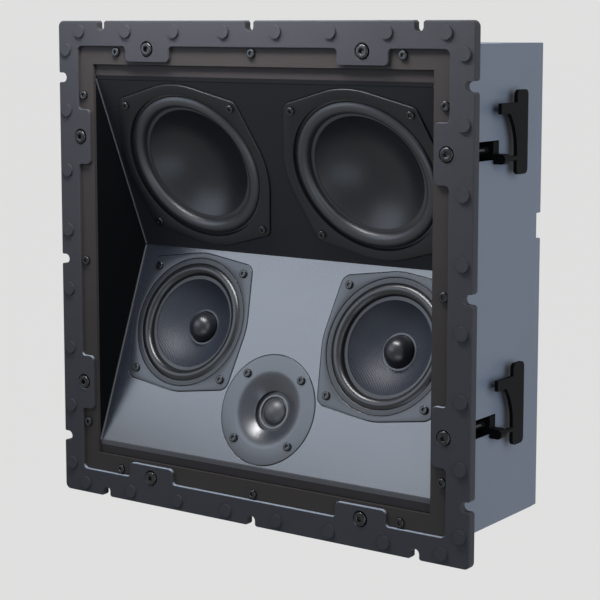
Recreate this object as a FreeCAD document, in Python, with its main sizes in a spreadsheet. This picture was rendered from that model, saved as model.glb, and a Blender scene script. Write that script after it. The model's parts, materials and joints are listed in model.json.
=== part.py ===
import FreeCAD, Part
import math
import os
import re
import Sketcher

# Angled in-ceiling loudspeaker, millimetres.
# The flange's back face lies in the plane Y = 0, the front looks along -Y, and +Z is up as drawn.

doc = FreeCAD.newDocument("angled_ceiling_speaker")
sheet = doc.addObject("Spreadsheet::Sheet", "Sizes")

# Sizes: alias, driving value or a formula of other sizes, note
SIZES = [
    ("frame_width", 400.0, "outer width and height of the mounting frame"),
    ("ring_width", 21.0, "raised outer ring, across"),
    ("ceiling_lip", 17.0, "frame beyond the cabinet's sides"),
    ("frame_thickness", 7.0, "frame from its front face to the ceiling face"),
    ("frame_corner_r", 5.0, "outer corners of the frame"),
    ("frame_edge_r", 1.2, "rounding of the frame's front edge"),
    ("ring_inner_width", "=frame_width - 2 * ring_width", "inside of the raised outer ring"),
    ("ring_corner_r", 4.5, "inner corners of the raised ring"),
    ("ledge_drop", 3.0, "ledge below the ring's front face"),
    ("seat_drop", 1.0, "shallow seat for the cabinet in the frame's back"),
    ("seat_gap", 1.0, "gap round the cabinet in that seat"),
    ("opening_gap", 0.3, "frame opening outside the cabinet's inner faces"),
    ("tab_reach", "=ring_inner_width / 2 - cabinet_width / 2 + cabinet_wall - opening_gap - tab_margin",
     "clamp tabs, inwards from the ring"),
    ("tab_margin", 2.2, "clamp tabs, short of the opening"),
    ("tab_width", 46.0, "clamp tabs, along the ring"),
    ("tab_corner_r", 4.0, "corners of the clamp tabs"),
    ("tab_root_r", 3.0, "hollow corners between the ring and the clamp tabs"),
    ("tab_edge_r", 0.8, "rounding along the ring's step and the tabs"),
    ("notch_spacing", "=0.3825 * frame_width", "edge notches, from the middle of a side"),
    ("notch_width", 8.0, "edge notches, width"),
    ("notch_depth", 8.5, "edge notches, depth from the edge"),
    ("notch_flare", 1.5, "edge notches, widening of the mouth each side"),
    ("bump_pitch", "=0.12575 * frame_width", "grille magnet bosses, along a side"),
    ("bump_inset", 8.6, "grille magnet bosses, from the edge"),
    ("bump_diameter", 10.5, "grille magnet bosses"),
    ("bump_height", 1.6, "grille magnet bosses"),
    ("frame_screw_spacing", "=clamp_offset + tab_width / 2 + tab_to_screw",
     "frame screws, from the middle of a side"),
    ("tab_to_screw", 11.5, "from a clamp tab's end to the next frame screw"),
    ("frame_screw_inset", "=ring_width + ring_to_screw", "frame screws, from the frame's edge"),
    ("ring_to_screw", 4.5, "from the ring's inner step to the frame screws"),
    ("frame_screw_d", 4.0, "frame screw shank"),
    ("frame_screw_head_d", 7.5, "frame screw head"),
    ("frame_screw_head_h", 2.2, "frame screw head"),
    ("frame_screw_length", 24.0, "frame screw shank"),
    ("screw_gap", 0.2, "round a screw in its clearance hole"),
    ("cabinet_width", "=frame_width - 2 * ceiling_lip", "outside of the cabinet"),
    ("cabinet_wall", 19.0, "cabinet board"),
    ("cabinet_depth", "=woofer_depth + 2 * plate_thickness + woofer_magnet_t + room_behind",
     "cabinet walls, front to back"),
    ("room_behind", 54.0, "depth beyond the woofers' own depth, for their slope"),
    ("back_thickness", 7.0, "back panel"),
    ("cable_notch_height", "=0.1025 * frame_width", "cable notch above the middle"),
    ("cable_notch_width", 20.0, "cable notch along the edge"),
    ("cable_notch_depth", 10.0, "cable notch into the panel"),
    ("top_band", 12.0, "flat rim of the woofer board"),
    ("bottom_band", 10.5, "flat rim of the midrange board"),
    ("valley_setback", 62.0, "where the boards meet, behind their rims"),
    ("valley_height", 8.0, "where the boards meet, above the middle"),
    ("board_thickness", 12.0, "both baffle boards"),
    ("clamp_offset", "=0.26 * frame_width", "clamp screws, from the middle of a side"),
    ("clamp_line", "=cabinet_width / 2 - clamp_set_in", "clamp screws, from the frame's centre"),
    ("clamp_set_in", 6.0, "clamp screws inside the cabinet's side"),
    ("clamp_screw_d", 6.0, "clamp screw shank"),
    ("clamp_head_d", 11.0, "clamp screw head"),
    ("clamp_head_h", 3.4, "clamp screw head"),
    ("clamp_sink_d", 12.4, "sinking for the clamp screw head"),
    ("clamp_sink_depth", 2.4, "sinking for the clamp screw head"),
    ("channel_width", 14.4, "clamp channel in the cabinet wall"),
    ("channel_depth", 12.5, "clamp channel into the wall"),
    ("channel_length", "=carriage_rest + carriage_length + seat_drop + channel_spare",
     "clamp channel behind the cabinet's front edge"),
    ("channel_spare", 1.0, "clamp channel behind the resting carriage"),
    ("carriage_length", 8.5, "clamp carriage along its screw"),
    ("carriage_gap", 0.7, "between carriage and channel"),
    ("carriage_rest", 50.0, "front of the carriage behind the ceiling face"),
    ("running_gap", 0.06, "radial gap of screw and pivot in their bores"),
    ("pivot_drop", 6.5, "dog pivot below its screw, along the side"),
    ("pivot_stand_off", 7.0, "dog pivot outside the cabinet wall"),
    ("pivot_d", 4.0, "dog pivot shaft"),
    ("lug_r", 3.8, "carriage lug round the pivot"),
    ("dog_thickness", 3.0, "dog plate"),
    ("dog_width", 17.0, "dog bar, front to back"),
    ("dog_front", 72.0, "dog bar's front behind the ceiling face"),
    ("dog_reach", 51.0, "dog bar above its pivot"),
    ("dog_heel", 12.6, "dog bar below its pivot"),
    ("dog_corner_r", 4.0, "ends of the dog bar"),
    ("tooth_length", 24.3, "dog tooth, forward of the bar"),
    ("tooth_width", 8.0, "dog tooth"),
    ("tooth_height", 33.5, "lower side of the tooth above the pivot"),
    ("gusset_length", 11.0, "gusset along the tooth"),
    ("gusset_height", 27.0, "gusset along the bar"),
    ("gusset_r", 40.0, "hollow of the gusset"),
    ("woofer_spacing", "=0.42 * frame_width", "between the woofers' centres"),
    ("woofer_drop", "=0.1925 * frame_width", "woofer centres down their board"),
    ("woofer_frame_r", "=0.185 * frame_width", "woofer frame, between its ears"),
    ("woofer_ear_r", "=0.01625 * frame_width", "woofer frame ears"),
    ("woofer_bolt_r", "=0.1925 * frame_width", "woofer screws from the centre"),
    ("woofer_flange", 5.0, "woofer frame flange"),
    ("woofer_proud", 1.5, "woofer flange above its board"),
    ("woofer_landing_r", "=0.163 * frame_width", "woofer frame, round the surround"),
    ("woofer_cone_r", "=0.13 * frame_width", "woofer cone"),
    ("woofer_bowl", "=0.05 * frame_width", "depth of the woofer's dished cone"),
    ("woofer_roll_r", "=0.0154 * frame_width", "woofer surround roll"),
    ("woofer_gasket", 2.0, "woofer surround's flat foot outside its roll"),
    ("woofer_depth", "=woofer_bowl + woofer_spider_room + 3 * basket_wall", "woofer basket's depth"),
    ("woofer_spider_room", 13.8, "from the woofer's dish to its spider"),
    ("woofer_seat_r", "=0.11 * frame_width", "woofer basket's rear ring"),
    ("woofer_coil_r", 16.0, "woofer voice coil, middle of its wall"),
    ("woofer_magnet_r", "=0.1125 * frame_width", "woofer magnet"),
    ("woofer_magnet_t", 15.0, "woofer magnet"),
    ("mid_spacing", "=0.49 * frame_width", "between the midranges' centres"),
    ("mid_rise", "=0.275 * frame_width", "midrange centres up their board"),
    ("mid_frame_r", "=0.14875 * frame_width", "midrange frame, between its ears"),
    ("mid_ear_r", "=0.02125 * frame_width", "midrange frame ears"),
    ("mid_bolt_r", "=0.159 * frame_width", "midrange screws from the centre"),
    ("mid_flange", 4.0, "midrange frame flange"),
    ("mid_proud", 0.5, "midrange flange above its board"),
    ("mid_landing_r", "=0.1375 * frame_width", "midrange frame, round the surround"),
    ("mid_cone_r", "=0.1025 * frame_width", "midrange cone"),
    ("mid_bowl", "=0.0425 * frame_width", "depth of the midrange cone"),
    ("mid_roll_r", "=0.0135 * frame_width", "midrange surround roll"),
    ("mid_gasket", 4.5, "midrange surround's flat foot outside its roll"),
    ("mid_depth", "=mid_bowl + mid_spider_room + 3 * basket_wall", "midrange basket's depth"),
    ("mid_spider_room", 8.8, "from the midrange cone to its spider"),
    ("mid_seat_r", "=0.09 * frame_width", "midrange basket's rear ring"),
    ("mid_coil_r", 16.4, "midrange voice coil, middle of its wall"),
    ("mid_magnet_r", "=0.09 * frame_width", "midrange magnet"),
    ("mid_magnet_t", 12.0, "midrange magnet"),
    ("plug_r", 14.2, "phase plug"),
    ("plug_top", 8.5, "phase plug's tip below the board"),
    ("plug_skirt", 4.0, "phase plug's straight side"),
    ("plug_step", 2.0, "phase plug's stem, inside its side"),
    ("driver_screw_d", 3.4, "driver screw shank"),
    ("driver_head_d", 7.0, "driver screw head"),
    ("driver_head_h", 2.0, "driver screw head"),
    ("driver_screw_length", 13.0, "driver screw shank"),
    ("rebate_gap", 0.5, "round a driver flange in its rebate"),
    ("basket_wall", 2.4, "driver basket wall"),
    ("coil_wall", 1.0, "voice coil former with its winding"),
    ("coil_gap", 0.7, "voice coil to pole and to top plate"),
    ("coil_overhang", 1.0, "voice coil behind the top plate"),
    ("cone_wall", 1.2, "cone thickness"),
    ("cone_lip", 3.0, "surround's glued lip on the cone"),
    ("cone_overlap", 0.8, "cone's rim under the surround's roll"),
    ("rubber_wall", 1.0, "surround thickness"),
    ("landing_lift", 1.3, "surround's ledge above the underside of its flange"),
    ("rim_drop", 3.0, "cone's rim below that ledge"),
    ("plate_thickness", 6.0, "top and back plates of the motors"),
    ("tweeter_rise", "=0.1175 * frame_width", "tweeter centre up its board"),
    ("tweeter_r", "=0.1125 * frame_width", "tweeter faceplate"),
    ("tweeter_flange", 4.0, "tweeter faceplate"),
    ("tweeter_proud", 0.5, "tweeter faceplate above its board"),
    ("tweeter_bolt_r", "=0.0945 * frame_width", "tweeter screws from the centre"),
    ("flare_r", "=0.08125 * frame_width", "mouth of the tweeter's flare"),
    ("throat_r", 16.5, "throat of the tweeter's flare"),
    ("flare_depth", 6.5, "depth of the tweeter's flare"),
    ("dome_r", 11.6, "tweeter dome"),
    ("dome_height", 5.4, "tweeter dome"),
    ("dome_roll_r", 1.6, "roll round the tweeter dome"),
    ("tweeter_magnet_r", "=0.075 * frame_width", "tweeter magnet"),
    ("tweeter_magnet_t", 12.0, "tweeter magnet"),
    ("terminal_height", "=0.075 * frame_width", "terminal cup above the middle of the back"),
    ("terminal_r", 30.0, "terminal cup, outside"),
    ("terminal_flange_r", 37.0, "terminal cup flange"),
    ("terminal_flange", 2.5, "terminal cup flange"),
    ("terminal_depth", 18.0, "terminal cup into the cabinet"),
    ("terminal_wall", 2.5, "terminal cup wall"),
    ("post_spacing", 24.0, "between the binding posts"),
    ("post_r", 2.5, "binding post stud"),
    ("post_collar_r", 6.0, "binding post collar"),
    ("post_collar", 3.0, "binding post collar"),
    ("post_length", 19.0, "binding post in front of the cup's floor"),
    ("post_tail", 6.0, "binding post inside the cabinet"),
    ("nut_r", 6.5, "terminal nut across its corners"),
    ("nut_length", 11.0, "terminal nut"),
    ("board_height", "=-0.155 * frame_width", "crossover board above the middle of the back"),
    ("board_width", 150.0, "crossover board, across"),
    ("board_length", 84.0, "crossover board, up"),
    ("board_sheet", 1.6, "crossover board"),
    ("choke_r", 17.0, "crossover choke"),
    ("choke_bore_r", 7.0, "crossover choke"),
    ("choke_height", 16.0, "crossover choke"),
    ("choke_spacing", 90.0, "between the chokes"),
    ("capacitor_r", 8.0, "crossover capacitor"),
    ("capacitor_length", 34.0, "crossover capacitor"),
    ("capacitor_pitch", 22.0, "between the capacitors"),
]

# Every size has its name before the formulas that use it are set
for row, (alias, value, note) in enumerate(SIZES, start=1):
    sheet.set(f"A{row}", note)
    sheet.setAlias(f"B{row}", alias)
for row, (alias, value, note) in enumerate(SIZES, start=1):
    sheet.set(f"B{row}", str(value))
doc.recompute()

ALIASES = {alias for alias, value, note in SIZES}
X_AXIS = FreeCAD.Vector(1, 0, 0)
Y_AXIS = FreeCAD.Vector(0, 1, 0)
Z_AXIS = FreeCAD.Vector(0, 0, 1)
nodes = {}


def bound(text):
    """Give each size in a formula the name of the sheet that holds it."""
    return re.sub(r"[a-z]\w*", lambda word: f"Sizes.{word[0]}" if word[0] in ALIASES else word[0], str(text))


def number(text):
    """Work a formula out from the sheet's present sizes."""
    return float(sheet.evalExpression(bound(text)))


def new_body(name):
    """A body whose own label names its file."""
    body = doc.addObject("PartDesign::Body", name)
    body.Label = name
    return body


def keep(piece, name, placement=None):
    """Make an object a finished piece of the speaker."""
    piece.Label = name
    if placement is not None:
        piece.Placement = placement
    nodes[name] = piece
    return piece


def origin_item(body, role):
    """One of a body's own base planes or axes."""
    return [item for item in body.Origin.OriginFeatures if item.Role == role][0]


def sketch_on(body, plane, lift="0"):
    """A sketch on a base plane, lifted along the plane's normal."""
    sketch = body.newObject("Sketcher::SketchObject", f"{body.Name}_sketch")
    sketch.AttachmentSupport = [(origin_item(body, plane), "")]
    sketch.MapMode = "FlatFace"
    sketch.setExpression("AttachmentOffset.Base.z", bound(lift))
    return sketch


def place_point(geometry, point, corner, constraints, formulas):
    """Tie a sketch point to its two formulas, measured from the sketch's origin."""
    for kind, axis, text in (("DistanceX", -2, corner[0]), ("DistanceY", -1, corner[1])):
        value = number(text)
        if abs(value) < 1e-9:
            constraints.append(Sketcher.Constraint("PointOnObject", geometry, point, axis))
            continue
        formulas[len(constraints)] = text
        constraints.append(Sketcher.Constraint(kind, -1, 1, geometry, point, value))


def tie(sketch, constraints, formulas):
    """Add the constraints and bind those that have a formula."""
    first = sketch.ConstraintCount
    sketch.addConstraint(constraints)
    for index, text in formulas.items():
        sketch.setExpression(f"Constraints[{first + index}]", bound(text))


def arc_between(start, end, radius, bulge):
    """The shorter arc from start to end that swells to the left or right of that way."""
    chord = end - start
    rise = math.sqrt(max(radius**2 - (chord.Length / 2)**2, 0))
    left = FreeCAD.Vector(-chord.y, chord.x, 0) / chord.Length
    centre = (start + end) / 2 + left * (rise if bulge == "right" else -rise)
    first, last = (start, end) if bulge == "right" else (end, start)
    angles = [math.atan2(spot.y - centre.y, spot.x - centre.x) for spot in (first, last)]
    return Part.ArcOfCircle(Part.Circle(centre, Z_AXIS, radius), angles[0], angles[1])


def outline(sketch, corners):
    """A closed line through corners given by formulas.

    A corner with a radius and a side starts an arc that swells to that side.
    """
    spots = [FreeCAD.Vector(number(corner[0]), number(corner[1]), 0) for corner in corners]
    constraints = []
    formulas = {}
    runs = []
    for index, corner in enumerate(corners):
        start = spots[index]
        end = spots[(index + 1) % len(spots)]
        if len(corner) == 2:
            runs.append((sketch.addGeometry(Part.LineSegment(start, end)), 1, 2))
            continue
        arc = sketch.addGeometry(arc_between(start, end, number(corner[2]), corner[3]))
        runs.append((arc, 1, 2) if corner[3] == "right" else (arc, 2, 1))
        formulas[len(constraints)] = corner[2]
        constraints.append(Sketcher.Constraint("Radius", arc, number(corner[2])))
    for index, (geometry, first, last) in enumerate(runs):
        following = runs[(index + 1) % len(runs)]
        constraints.append(Sketcher.Constraint("Coincident", geometry, last, following[0], following[1]))
        place_point(geometry, first, corners[index], constraints, formulas)
    tie(sketch, constraints, formulas)


def ring(sketch, across, up, radius):
    """A circle whose centre and radius are formulas."""
    centre = FreeCAD.Vector(number(across), number(up), 0)
    circle = sketch.addGeometry(Part.Circle(centre, Z_AXIS, number(radius)))
    constraints = [Sketcher.Constraint("Radius", circle, number(radius))]
    formulas = {0: radius}
    place_point(circle, 3, (across, up), constraints, formulas)
    tie(sketch, constraints, formulas)


def rectangle(sketch, left, right, low, high):
    """A plain rectangle between four formulas."""
    outline(sketch, [(left, low), (right, low), (right, high), (left, high)])


def round_rectangle(sketch, left, right, low, high, radius):
    """A rectangle with round corners."""
    outline(sketch, [
        (f"{left} + {radius}", low),
        (f"{right} - {radius}", low, radius, "right"),
        (right, f"{low} + {radius}"),
        (right, f"{high} - {radius}", radius, "right"),
        (f"{right} - {radius}", high),
        (f"{left} + {radius}", high, radius, "right"),
        (left, f"{high} - {radius}"),
        (left, f"{low} + {radius}", radius, "right"),
    ])


def feature(body, kind, sketch, length, turned_round=False):
    """A pad or pocket of a sketch, by a formula's length."""
    item = body.newObject(f"PartDesign::{kind}", f"{body.Name}_{kind.lower()}")
    item.Profile = sketch
    item.setExpression("Length", bound(length))
    item.Reversed = turned_round
    body.Tip = item
    return item


def pattern(body, axis, features, count=4):
    """Repeat features round one of the body's axes."""
    item = body.newObject("PartDesign::PolarPattern", f"{body.Name}_pattern")
    item.Originals = features
    item.Axis = (origin_item(body, axis), [""])
    item.Angle = 360
    item.Occurrences = count
    body.Tip = item
    return item


def round_edges(body, radius, chosen):
    """Round the edges of the body's present shape that a test picks."""
    doc.recompute()
    base = body.Tip
    names = [f"Edge{n}" for n, edge in enumerate(base.Shape.Edges, start=1) if chosen(edge)]
    item = body.newObject("PartDesign::Fillet", f"{body.Name}_fillet")
    item.Base = (base, names)
    item.setExpression("Radius", bound(radius))
    body.Tip = item


def turned(name, corners):
    """A turned piece: a profile of radius and height, carried round the local Z axis."""
    body = new_body(name)
    sketch = sketch_on(body, "XZ_Plane")
    outline(sketch, corners)
    item = body.newObject("PartDesign::Revolution", f"{name}_turn")
    item.Profile = sketch
    item.ReferenceAxis = (sketch, ["V_Axis"])
    item.Angle = 360
    body.Tip = item
    return body


def group(name, master, placements):
    """Separate copies of one small piece, kept together as one node."""
    doc.recompute()
    copies = []
    for placement in placements:
        shape = master.Shape.copy()
        shape.Placement = placement.multiply(shape.Placement)
        copies.append(shape)
    item = doc.addObject("Part::Feature", name)
    item.Shape = Part.makeCompound(copies)
    return keep(item, name)


# Where things lie, worked out from the sheet

CABINET_FRONT = "-seat_drop"
CABINET_HALF = "cabinet_width / 2"
INNER_HALF = "(cabinet_width / 2 - cabinet_wall)"
PANEL_FRONT = "(cabinet_depth - seat_drop)"
PANEL_BACK = "(cabinet_depth - seat_drop + back_thickness)"
FRAME_HALF = "frame_width / 2"
SCREW_LINE = "(frame_width / 2 - frame_screw_inset)"
PIVOT_X = "(cabinet_width / 2 + pivot_stand_off)"
TURN_TO_FRONT = FreeCAD.Rotation(X_AXIS, 90)
TURN_TO_BACK = FreeCAD.Rotation(X_AXIS, -90)
EDGE_SLACK = 0.05
SIDES = {"right": 0, "bottom": 90, "left": 180, "top": 270}


def side_turn(side):
    """Turn a piece of the right side about the centre line to another side."""
    return FreeCAD.Placement(FreeCAD.Vector(0, 0, 0), FreeCAD.Rotation(Y_AXIS, SIDES[side]))


def side_places(offsets, line, depth):
    """Placements of screws at all four sides, their heads towards the front."""
    places = []
    for side in SIDES:
        for offset in offsets:
            spot = FreeCAD.Vector(number(line), number(depth), number(offset))
            places.append(side_turn(side).multiply(FreeCAD.Placement(spot, TURN_TO_FRONT)))
    return places


def board_place(board, across, along, spin=0):
    """A place on a baffle board: across it, and along it from its rim, facing outwards."""
    sign = 1 if board == "upper" else -1
    band = "top_band" if board == "upper" else "bottom_band"
    rim = FreeCAD.Vector(0, number(CABINET_FRONT), sign * number(f"{INNER_HALF} - {band}"))
    valley = FreeCAD.Vector(0, number(f"{CABINET_FRONT} + valley_setback"), number("valley_height"))
    slope = (valley - rim).normalize()
    tilt = math.degrees(math.atan2(abs(slope.z), -sign * slope.y))
    spot = rim + slope * number(along) + X_AXIS * number(across)
    rotation = FreeCAD.Rotation(X_AXIS, tilt).multiply(FreeCAD.Rotation(Z_AXIS, spin))
    return FreeCAD.Placement(spot, rotation)


WOOFERS = {
    "left": board_place("upper", "-woofer_spacing / 2", "woofer_drop", 45),
    "right": board_place("upper", "woofer_spacing / 2", "woofer_drop", 45),
}
MIDS = {
    "left": board_place("lower", "-mid_spacing / 2", "mid_rise", 45),
    "right": board_place("lower", "mid_spacing / 2", "mid_rise", 45),
}
TWEETER = board_place("lower", "0", "tweeter_rise", 45)


# Mounting frame

def build_mounting_frame():
    """Flange with a raised ring, clamp tabs, edge notches, magnet bosses and screw holes."""
    body = new_body("mounting_frame")
    blank = sketch_on(body, "XZ_Plane")
    round_rectangle(blank, f"-{FRAME_HALF}", FRAME_HALF, f"-{FRAME_HALF}", FRAME_HALF, "frame_corner_r")
    feature(body, "Pad", blank, "frame_thickness")
    ledge = sketch_on(body, "XZ_Plane", "frame_thickness")
    half = "ring_inner_width / 2"
    round_rectangle(ledge, f"-{half}", half, f"-{half}", half, "ring_corner_r")
    feature(body, "Pocket", ledge, "ledge_drop")
    seat = sketch_on(body, "XZ_Plane")
    half = "(cabinet_width / 2 + seat_gap)"
    rectangle(seat, f"-{half}", half, f"-{half}", half)
    feature(body, "Pocket", seat, "seat_drop", True)
    opening = sketch_on(body, "XZ_Plane", "frame_thickness")
    half = f"({INNER_HALF} + opening_gap)"
    rectangle(opening, f"-{half}", half, f"-{half}", half)
    feature(body, "Pocket", opening, "frame_thickness")

    tabs = sketch_on(body, "XZ_Plane", "frame_thickness - ledge_drop")
    inside = "ring_inner_width / 2"
    tip = "ring_inner_width / 2 - tab_reach"
    for sign in ("", "-"):
        low = f"{sign}clamp_offset - tab_width / 2"
        high = f"{sign}clamp_offset + tab_width / 2"
        outline(tabs, [
            (f"{inside} + tab_corner_r", f"{low} - tab_root_r"),
            (inside, f"{low} - tab_root_r", "tab_root_r", "right"),
            (f"{inside} - tab_root_r", low),
            (f"{tip} + tab_corner_r", low, "tab_corner_r", "left"),
            (tip, f"{low} + tab_corner_r"),
            (tip, f"{high} - tab_corner_r", "tab_corner_r", "left"),
            (f"{tip} + tab_corner_r", high),
            (f"{inside} - tab_root_r", high, "tab_root_r", "right"),
            (inside, f"{high} + tab_root_r"),
            (f"{inside} + tab_corner_r", f"{high} + tab_root_r"),
        ])
    repeated = [feature(body, "Pad", tabs, "ledge_drop")]

    bosses = sketch_on(body, "XZ_Plane", "frame_thickness")
    for step in (-3.5, -2.5, -1.5, -0.5, 0.5, 1.5, 2.5, 3.5):
        ring(bosses, f"{FRAME_HALF} - bump_inset", f"{step} * bump_pitch", "bump_diameter / 2")
    repeated.append(feature(body, "Pad", bosses, "bump_height"))

    notches = sketch_on(body, "XZ_Plane", "frame_thickness")
    for middle in ("-notch_spacing", "0", "notch_spacing"):
        outline(notches, [
            (f"{FRAME_HALF} + notch_flare", f"{middle} + notch_width / 2 + 2 * notch_flare"),
            (f"{FRAME_HALF} - notch_flare", f"{middle} + notch_width / 2"),
            (f"{FRAME_HALF} - notch_depth + notch_width / 2", f"{middle} + notch_width / 2",
             "notch_width / 2", "right"),
            (f"{FRAME_HALF} - notch_depth", middle, "notch_width / 2", "right"),
            (f"{FRAME_HALF} - notch_depth + notch_width / 2", f"{middle} - notch_width / 2"),
            (f"{FRAME_HALF} - notch_flare", f"{middle} - notch_width / 2"),
            (f"{FRAME_HALF} + notch_flare", f"{middle} - notch_width / 2 - 2 * notch_flare"),
        ])
    repeated.append(feature(body, "Pocket", notches, "frame_thickness"))

    holes = sketch_on(body, "XZ_Plane", "frame_thickness")
    for offset in ("-frame_screw_spacing", "0", "frame_screw_spacing"):
        ring(holes, SCREW_LINE, offset, "frame_screw_d / 2 + screw_gap")
    for offset in ("-clamp_offset", "clamp_offset"):
        ring(holes, "clamp_line", offset, "clamp_screw_d / 2 + screw_gap")
    repeated.append(feature(body, "Pocket", holes, "frame_thickness"))
    sinks = sketch_on(body, "XZ_Plane", "frame_thickness")
    for offset in ("-clamp_offset", "clamp_offset"):
        ring(sinks, "clamp_line", offset, "clamp_sink_d / 2")
    repeated.append(feature(body, "Pocket", sinks, "clamp_sink_depth"))
    pattern(body, "Y_Axis", repeated)

    front = -number("frame_thickness")
    step = number("ring_inner_width / 2")
    tab_end = step - number("tab_reach")

    def reach(edge):
        return max(abs(edge.CenterOfMass.x), abs(edge.CenterOfMass.z))

    def on_front(edge):
        levels = [vertex.Y for vertex in edge.Vertexes]
        return len(levels) == 2 and all(abs(level - front) < EDGE_SLACK for level in levels)

    def on_step(edge):
        return on_front(edge) and tab_end - EDGE_SLACK < reach(edge) < step + EDGE_SLACK

    def on_rim(edge):
        on_outline = reach(edge) > number(f"{FRAME_HALF} - frame_edge_r")
        return on_front(edge) and on_outline and edge.Length > number("notch_depth")

    round_edges(body, "tab_edge_r", on_step)
    round_edges(body, "frame_edge_r", on_rim)
    keep(body, "mounting_frame")


# Cabinet

def build_cabinet():
    """Four glued walls with clamp channels, and the back panel that closes them."""
    shell = new_body("cabinet_shell")
    walls = sketch_on(shell, "XZ_Plane", f"-({CABINET_FRONT})")
    rectangle(walls, f"-{CABINET_HALF}", CABINET_HALF, f"-{CABINET_HALF}", CABINET_HALF)
    rectangle(walls, f"-{INNER_HALF}", INNER_HALF, f"-{INNER_HALF}", INNER_HALF)
    feature(shell, "Pad", walls, "cabinet_depth", True)
    channels = sketch_on(shell, "XZ_Plane", f"-({CABINET_FRONT})")
    for offset in ("-clamp_offset", "clamp_offset"):
        rectangle(channels, f"{CABINET_HALF} - channel_depth", f"{CABINET_HALF} + channel_depth",
                  f"{offset} - channel_width / 2", f"{offset} + channel_width / 2")
    repeated = [feature(shell, "Pocket", channels, "channel_length")]
    pilots = sketch_on(shell, "XZ_Plane", f"-({CABINET_FRONT})")
    for offset in ("-frame_screw_spacing", "0", "frame_screw_spacing"):
        ring(pilots, SCREW_LINE, offset, "frame_screw_d / 2 + running_gap")
    repeated.append(feature(shell, "Pocket", pilots, "frame_screw_length"))
    pattern(shell, "Y_Axis", repeated)
    keep(shell, "cabinet_shell")

    panel = new_body("back_panel")
    face = sketch_on(panel, "XZ_Plane", f"-({PANEL_FRONT})")
    outline(face, [
        (f"-{CABINET_HALF}", f"-{CABINET_HALF}"),
        (CABINET_HALF, f"-{CABINET_HALF}"),
        (CABINET_HALF, "cable_notch_height - cable_notch_width / 2"),
        (f"{CABINET_HALF} - cable_notch_depth", "cable_notch_height - cable_notch_width / 2"),
        (f"{CABINET_HALF} - cable_notch_depth", "cable_notch_height + cable_notch_width / 2"),
        (CABINET_HALF, "cable_notch_height + cable_notch_width / 2"),
        (CABINET_HALF, CABINET_HALF),
        (f"-{CABINET_HALF}", CABINET_HALF),
    ])
    ring(face, "0", "terminal_height", "terminal_r + screw_gap")
    feature(panel, "Pad", face, "back_thickness", True)
    keep(panel, "back_panel")


# Drivers

EAR_COS = "(({0}_frame_r - {0}_ear_r) / {0}_bolt_r)"
EAR_SIN = "sqrt(1 - (({0}_frame_r - {0}_ear_r) / {0}_bolt_r)^2)"


def ear_plate(body, kind, gap, low, thickness):
    """Round plate with four ears that run into it along tangents; returns the ear features."""
    cos = EAR_COS.format(kind)
    sin = EAR_SIN.format(kind)
    disc = sketch_on(body, "XY_Plane", low)
    ring(disc, "0", "0", f"{kind}_frame_r + {gap}")
    feature(body, "Pad", disc, thickness)
    wedge = sketch_on(body, "XY_Plane", low)
    near = f"({kind}_frame_r + {gap})"
    far = f"({kind}_ear_r + {gap})"
    outline(wedge, [
        (f"{near} * {cos}", f"-{near} * {sin}"),
        (f"{kind}_bolt_r + {far} * {cos}", f"-{far} * {sin}"),
        (f"{kind}_bolt_r + {far} * {cos}", f"{far} * {sin}"),
        (f"{near} * {cos}", f"{near} * {sin}"),
    ])
    ears = [feature(body, "Pad", wedge, thickness)]
    end = sketch_on(body, "XY_Plane", low)
    ring(end, f"{kind}_bolt_r", "0", far)
    ears.append(feature(body, "Pad", end, thickness))
    return ears


def flange_low(kind):
    return f"({kind}_proud - {kind}_flange)"


def landing(kind):
    """Height of the ledge that the surround is glued to."""
    return f"({kind}_proud - {kind}_flange + landing_lift)"


def rim_level(kind):
    """Height of the cone's rim, below the surround's outer foot."""
    return f"({kind}_proud - {kind}_flange + landing_lift - rim_drop)"


def build_basket(kind, side, place):
    """Driver frame: eared flange, conical basket with windows, and rear ring."""
    name = f"{kind}_{side}_basket"
    body = new_body(name)
    ears = ear_plate(body, kind, "0", flange_low(kind), f"{kind}_flange")
    hole = sketch_on(body, "XY_Plane", f"{kind}_proud")
    ring(hole, f"{kind}_bolt_r", "0", "driver_screw_d / 2 + screw_gap")
    ears.append(feature(body, "Pocket", hole, f"{kind}_flange"))
    pattern(body, "Z_Axis", ears)
    mouth = sketch_on(body, "XY_Plane", f"{kind}_proud")
    ring(mouth, "0", "0", f"{kind}_landing_r")
    feature(body, "Pocket", mouth, f"{kind}_flange")
    ledge = landing(kind)
    bowl = sketch_on(body, "XZ_Plane")
    outline(bowl, [
        (f"{kind}_coil_r + 2 * basket_wall", f"-{kind}_depth"),
        (f"{kind}_seat_r", f"-{kind}_depth"),
        (f"{kind}_landing_r + basket_wall / 2", f"{ledge} - basket_wall"),
        (f"{kind}_landing_r + basket_wall / 2", ledge),
        (f"{kind}_landing_r - 2 * basket_wall", ledge),
        (f"{kind}_landing_r - 2 * basket_wall", f"{ledge} - basket_wall"),
        (f"{kind}_seat_r - basket_wall", f"-{kind}_depth + 3 * basket_wall"),
        (f"{kind}_seat_r - 3 * basket_wall", f"-{kind}_depth + 3 * basket_wall"),
        (f"{kind}_seat_r - 3 * basket_wall", f"-{kind}_depth + basket_wall"),
        (f"{kind}_coil_r + 2 * basket_wall", f"-{kind}_depth + basket_wall"),
    ])
    turn = body.newObject("PartDesign::Revolution", f"{name}_turn")
    turn.Profile = bowl
    turn.ReferenceAxis = (bowl, ["V_Axis"])
    turn.Angle = 360
    body.Tip = turn
    window = sketch_on(body, "YZ_Plane")
    rectangle(window, f"-{kind}_seat_r / 2", f"{kind}_seat_r / 2",
              f"-{kind}_depth + 5 * basket_wall", f"{ledge} - 3 * basket_wall")
    cut = feature(body, "Pocket", window, f"{kind}_frame_r", True)
    pattern(body, "Z_Axis", [cut])
    keep(body, name, place)


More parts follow.
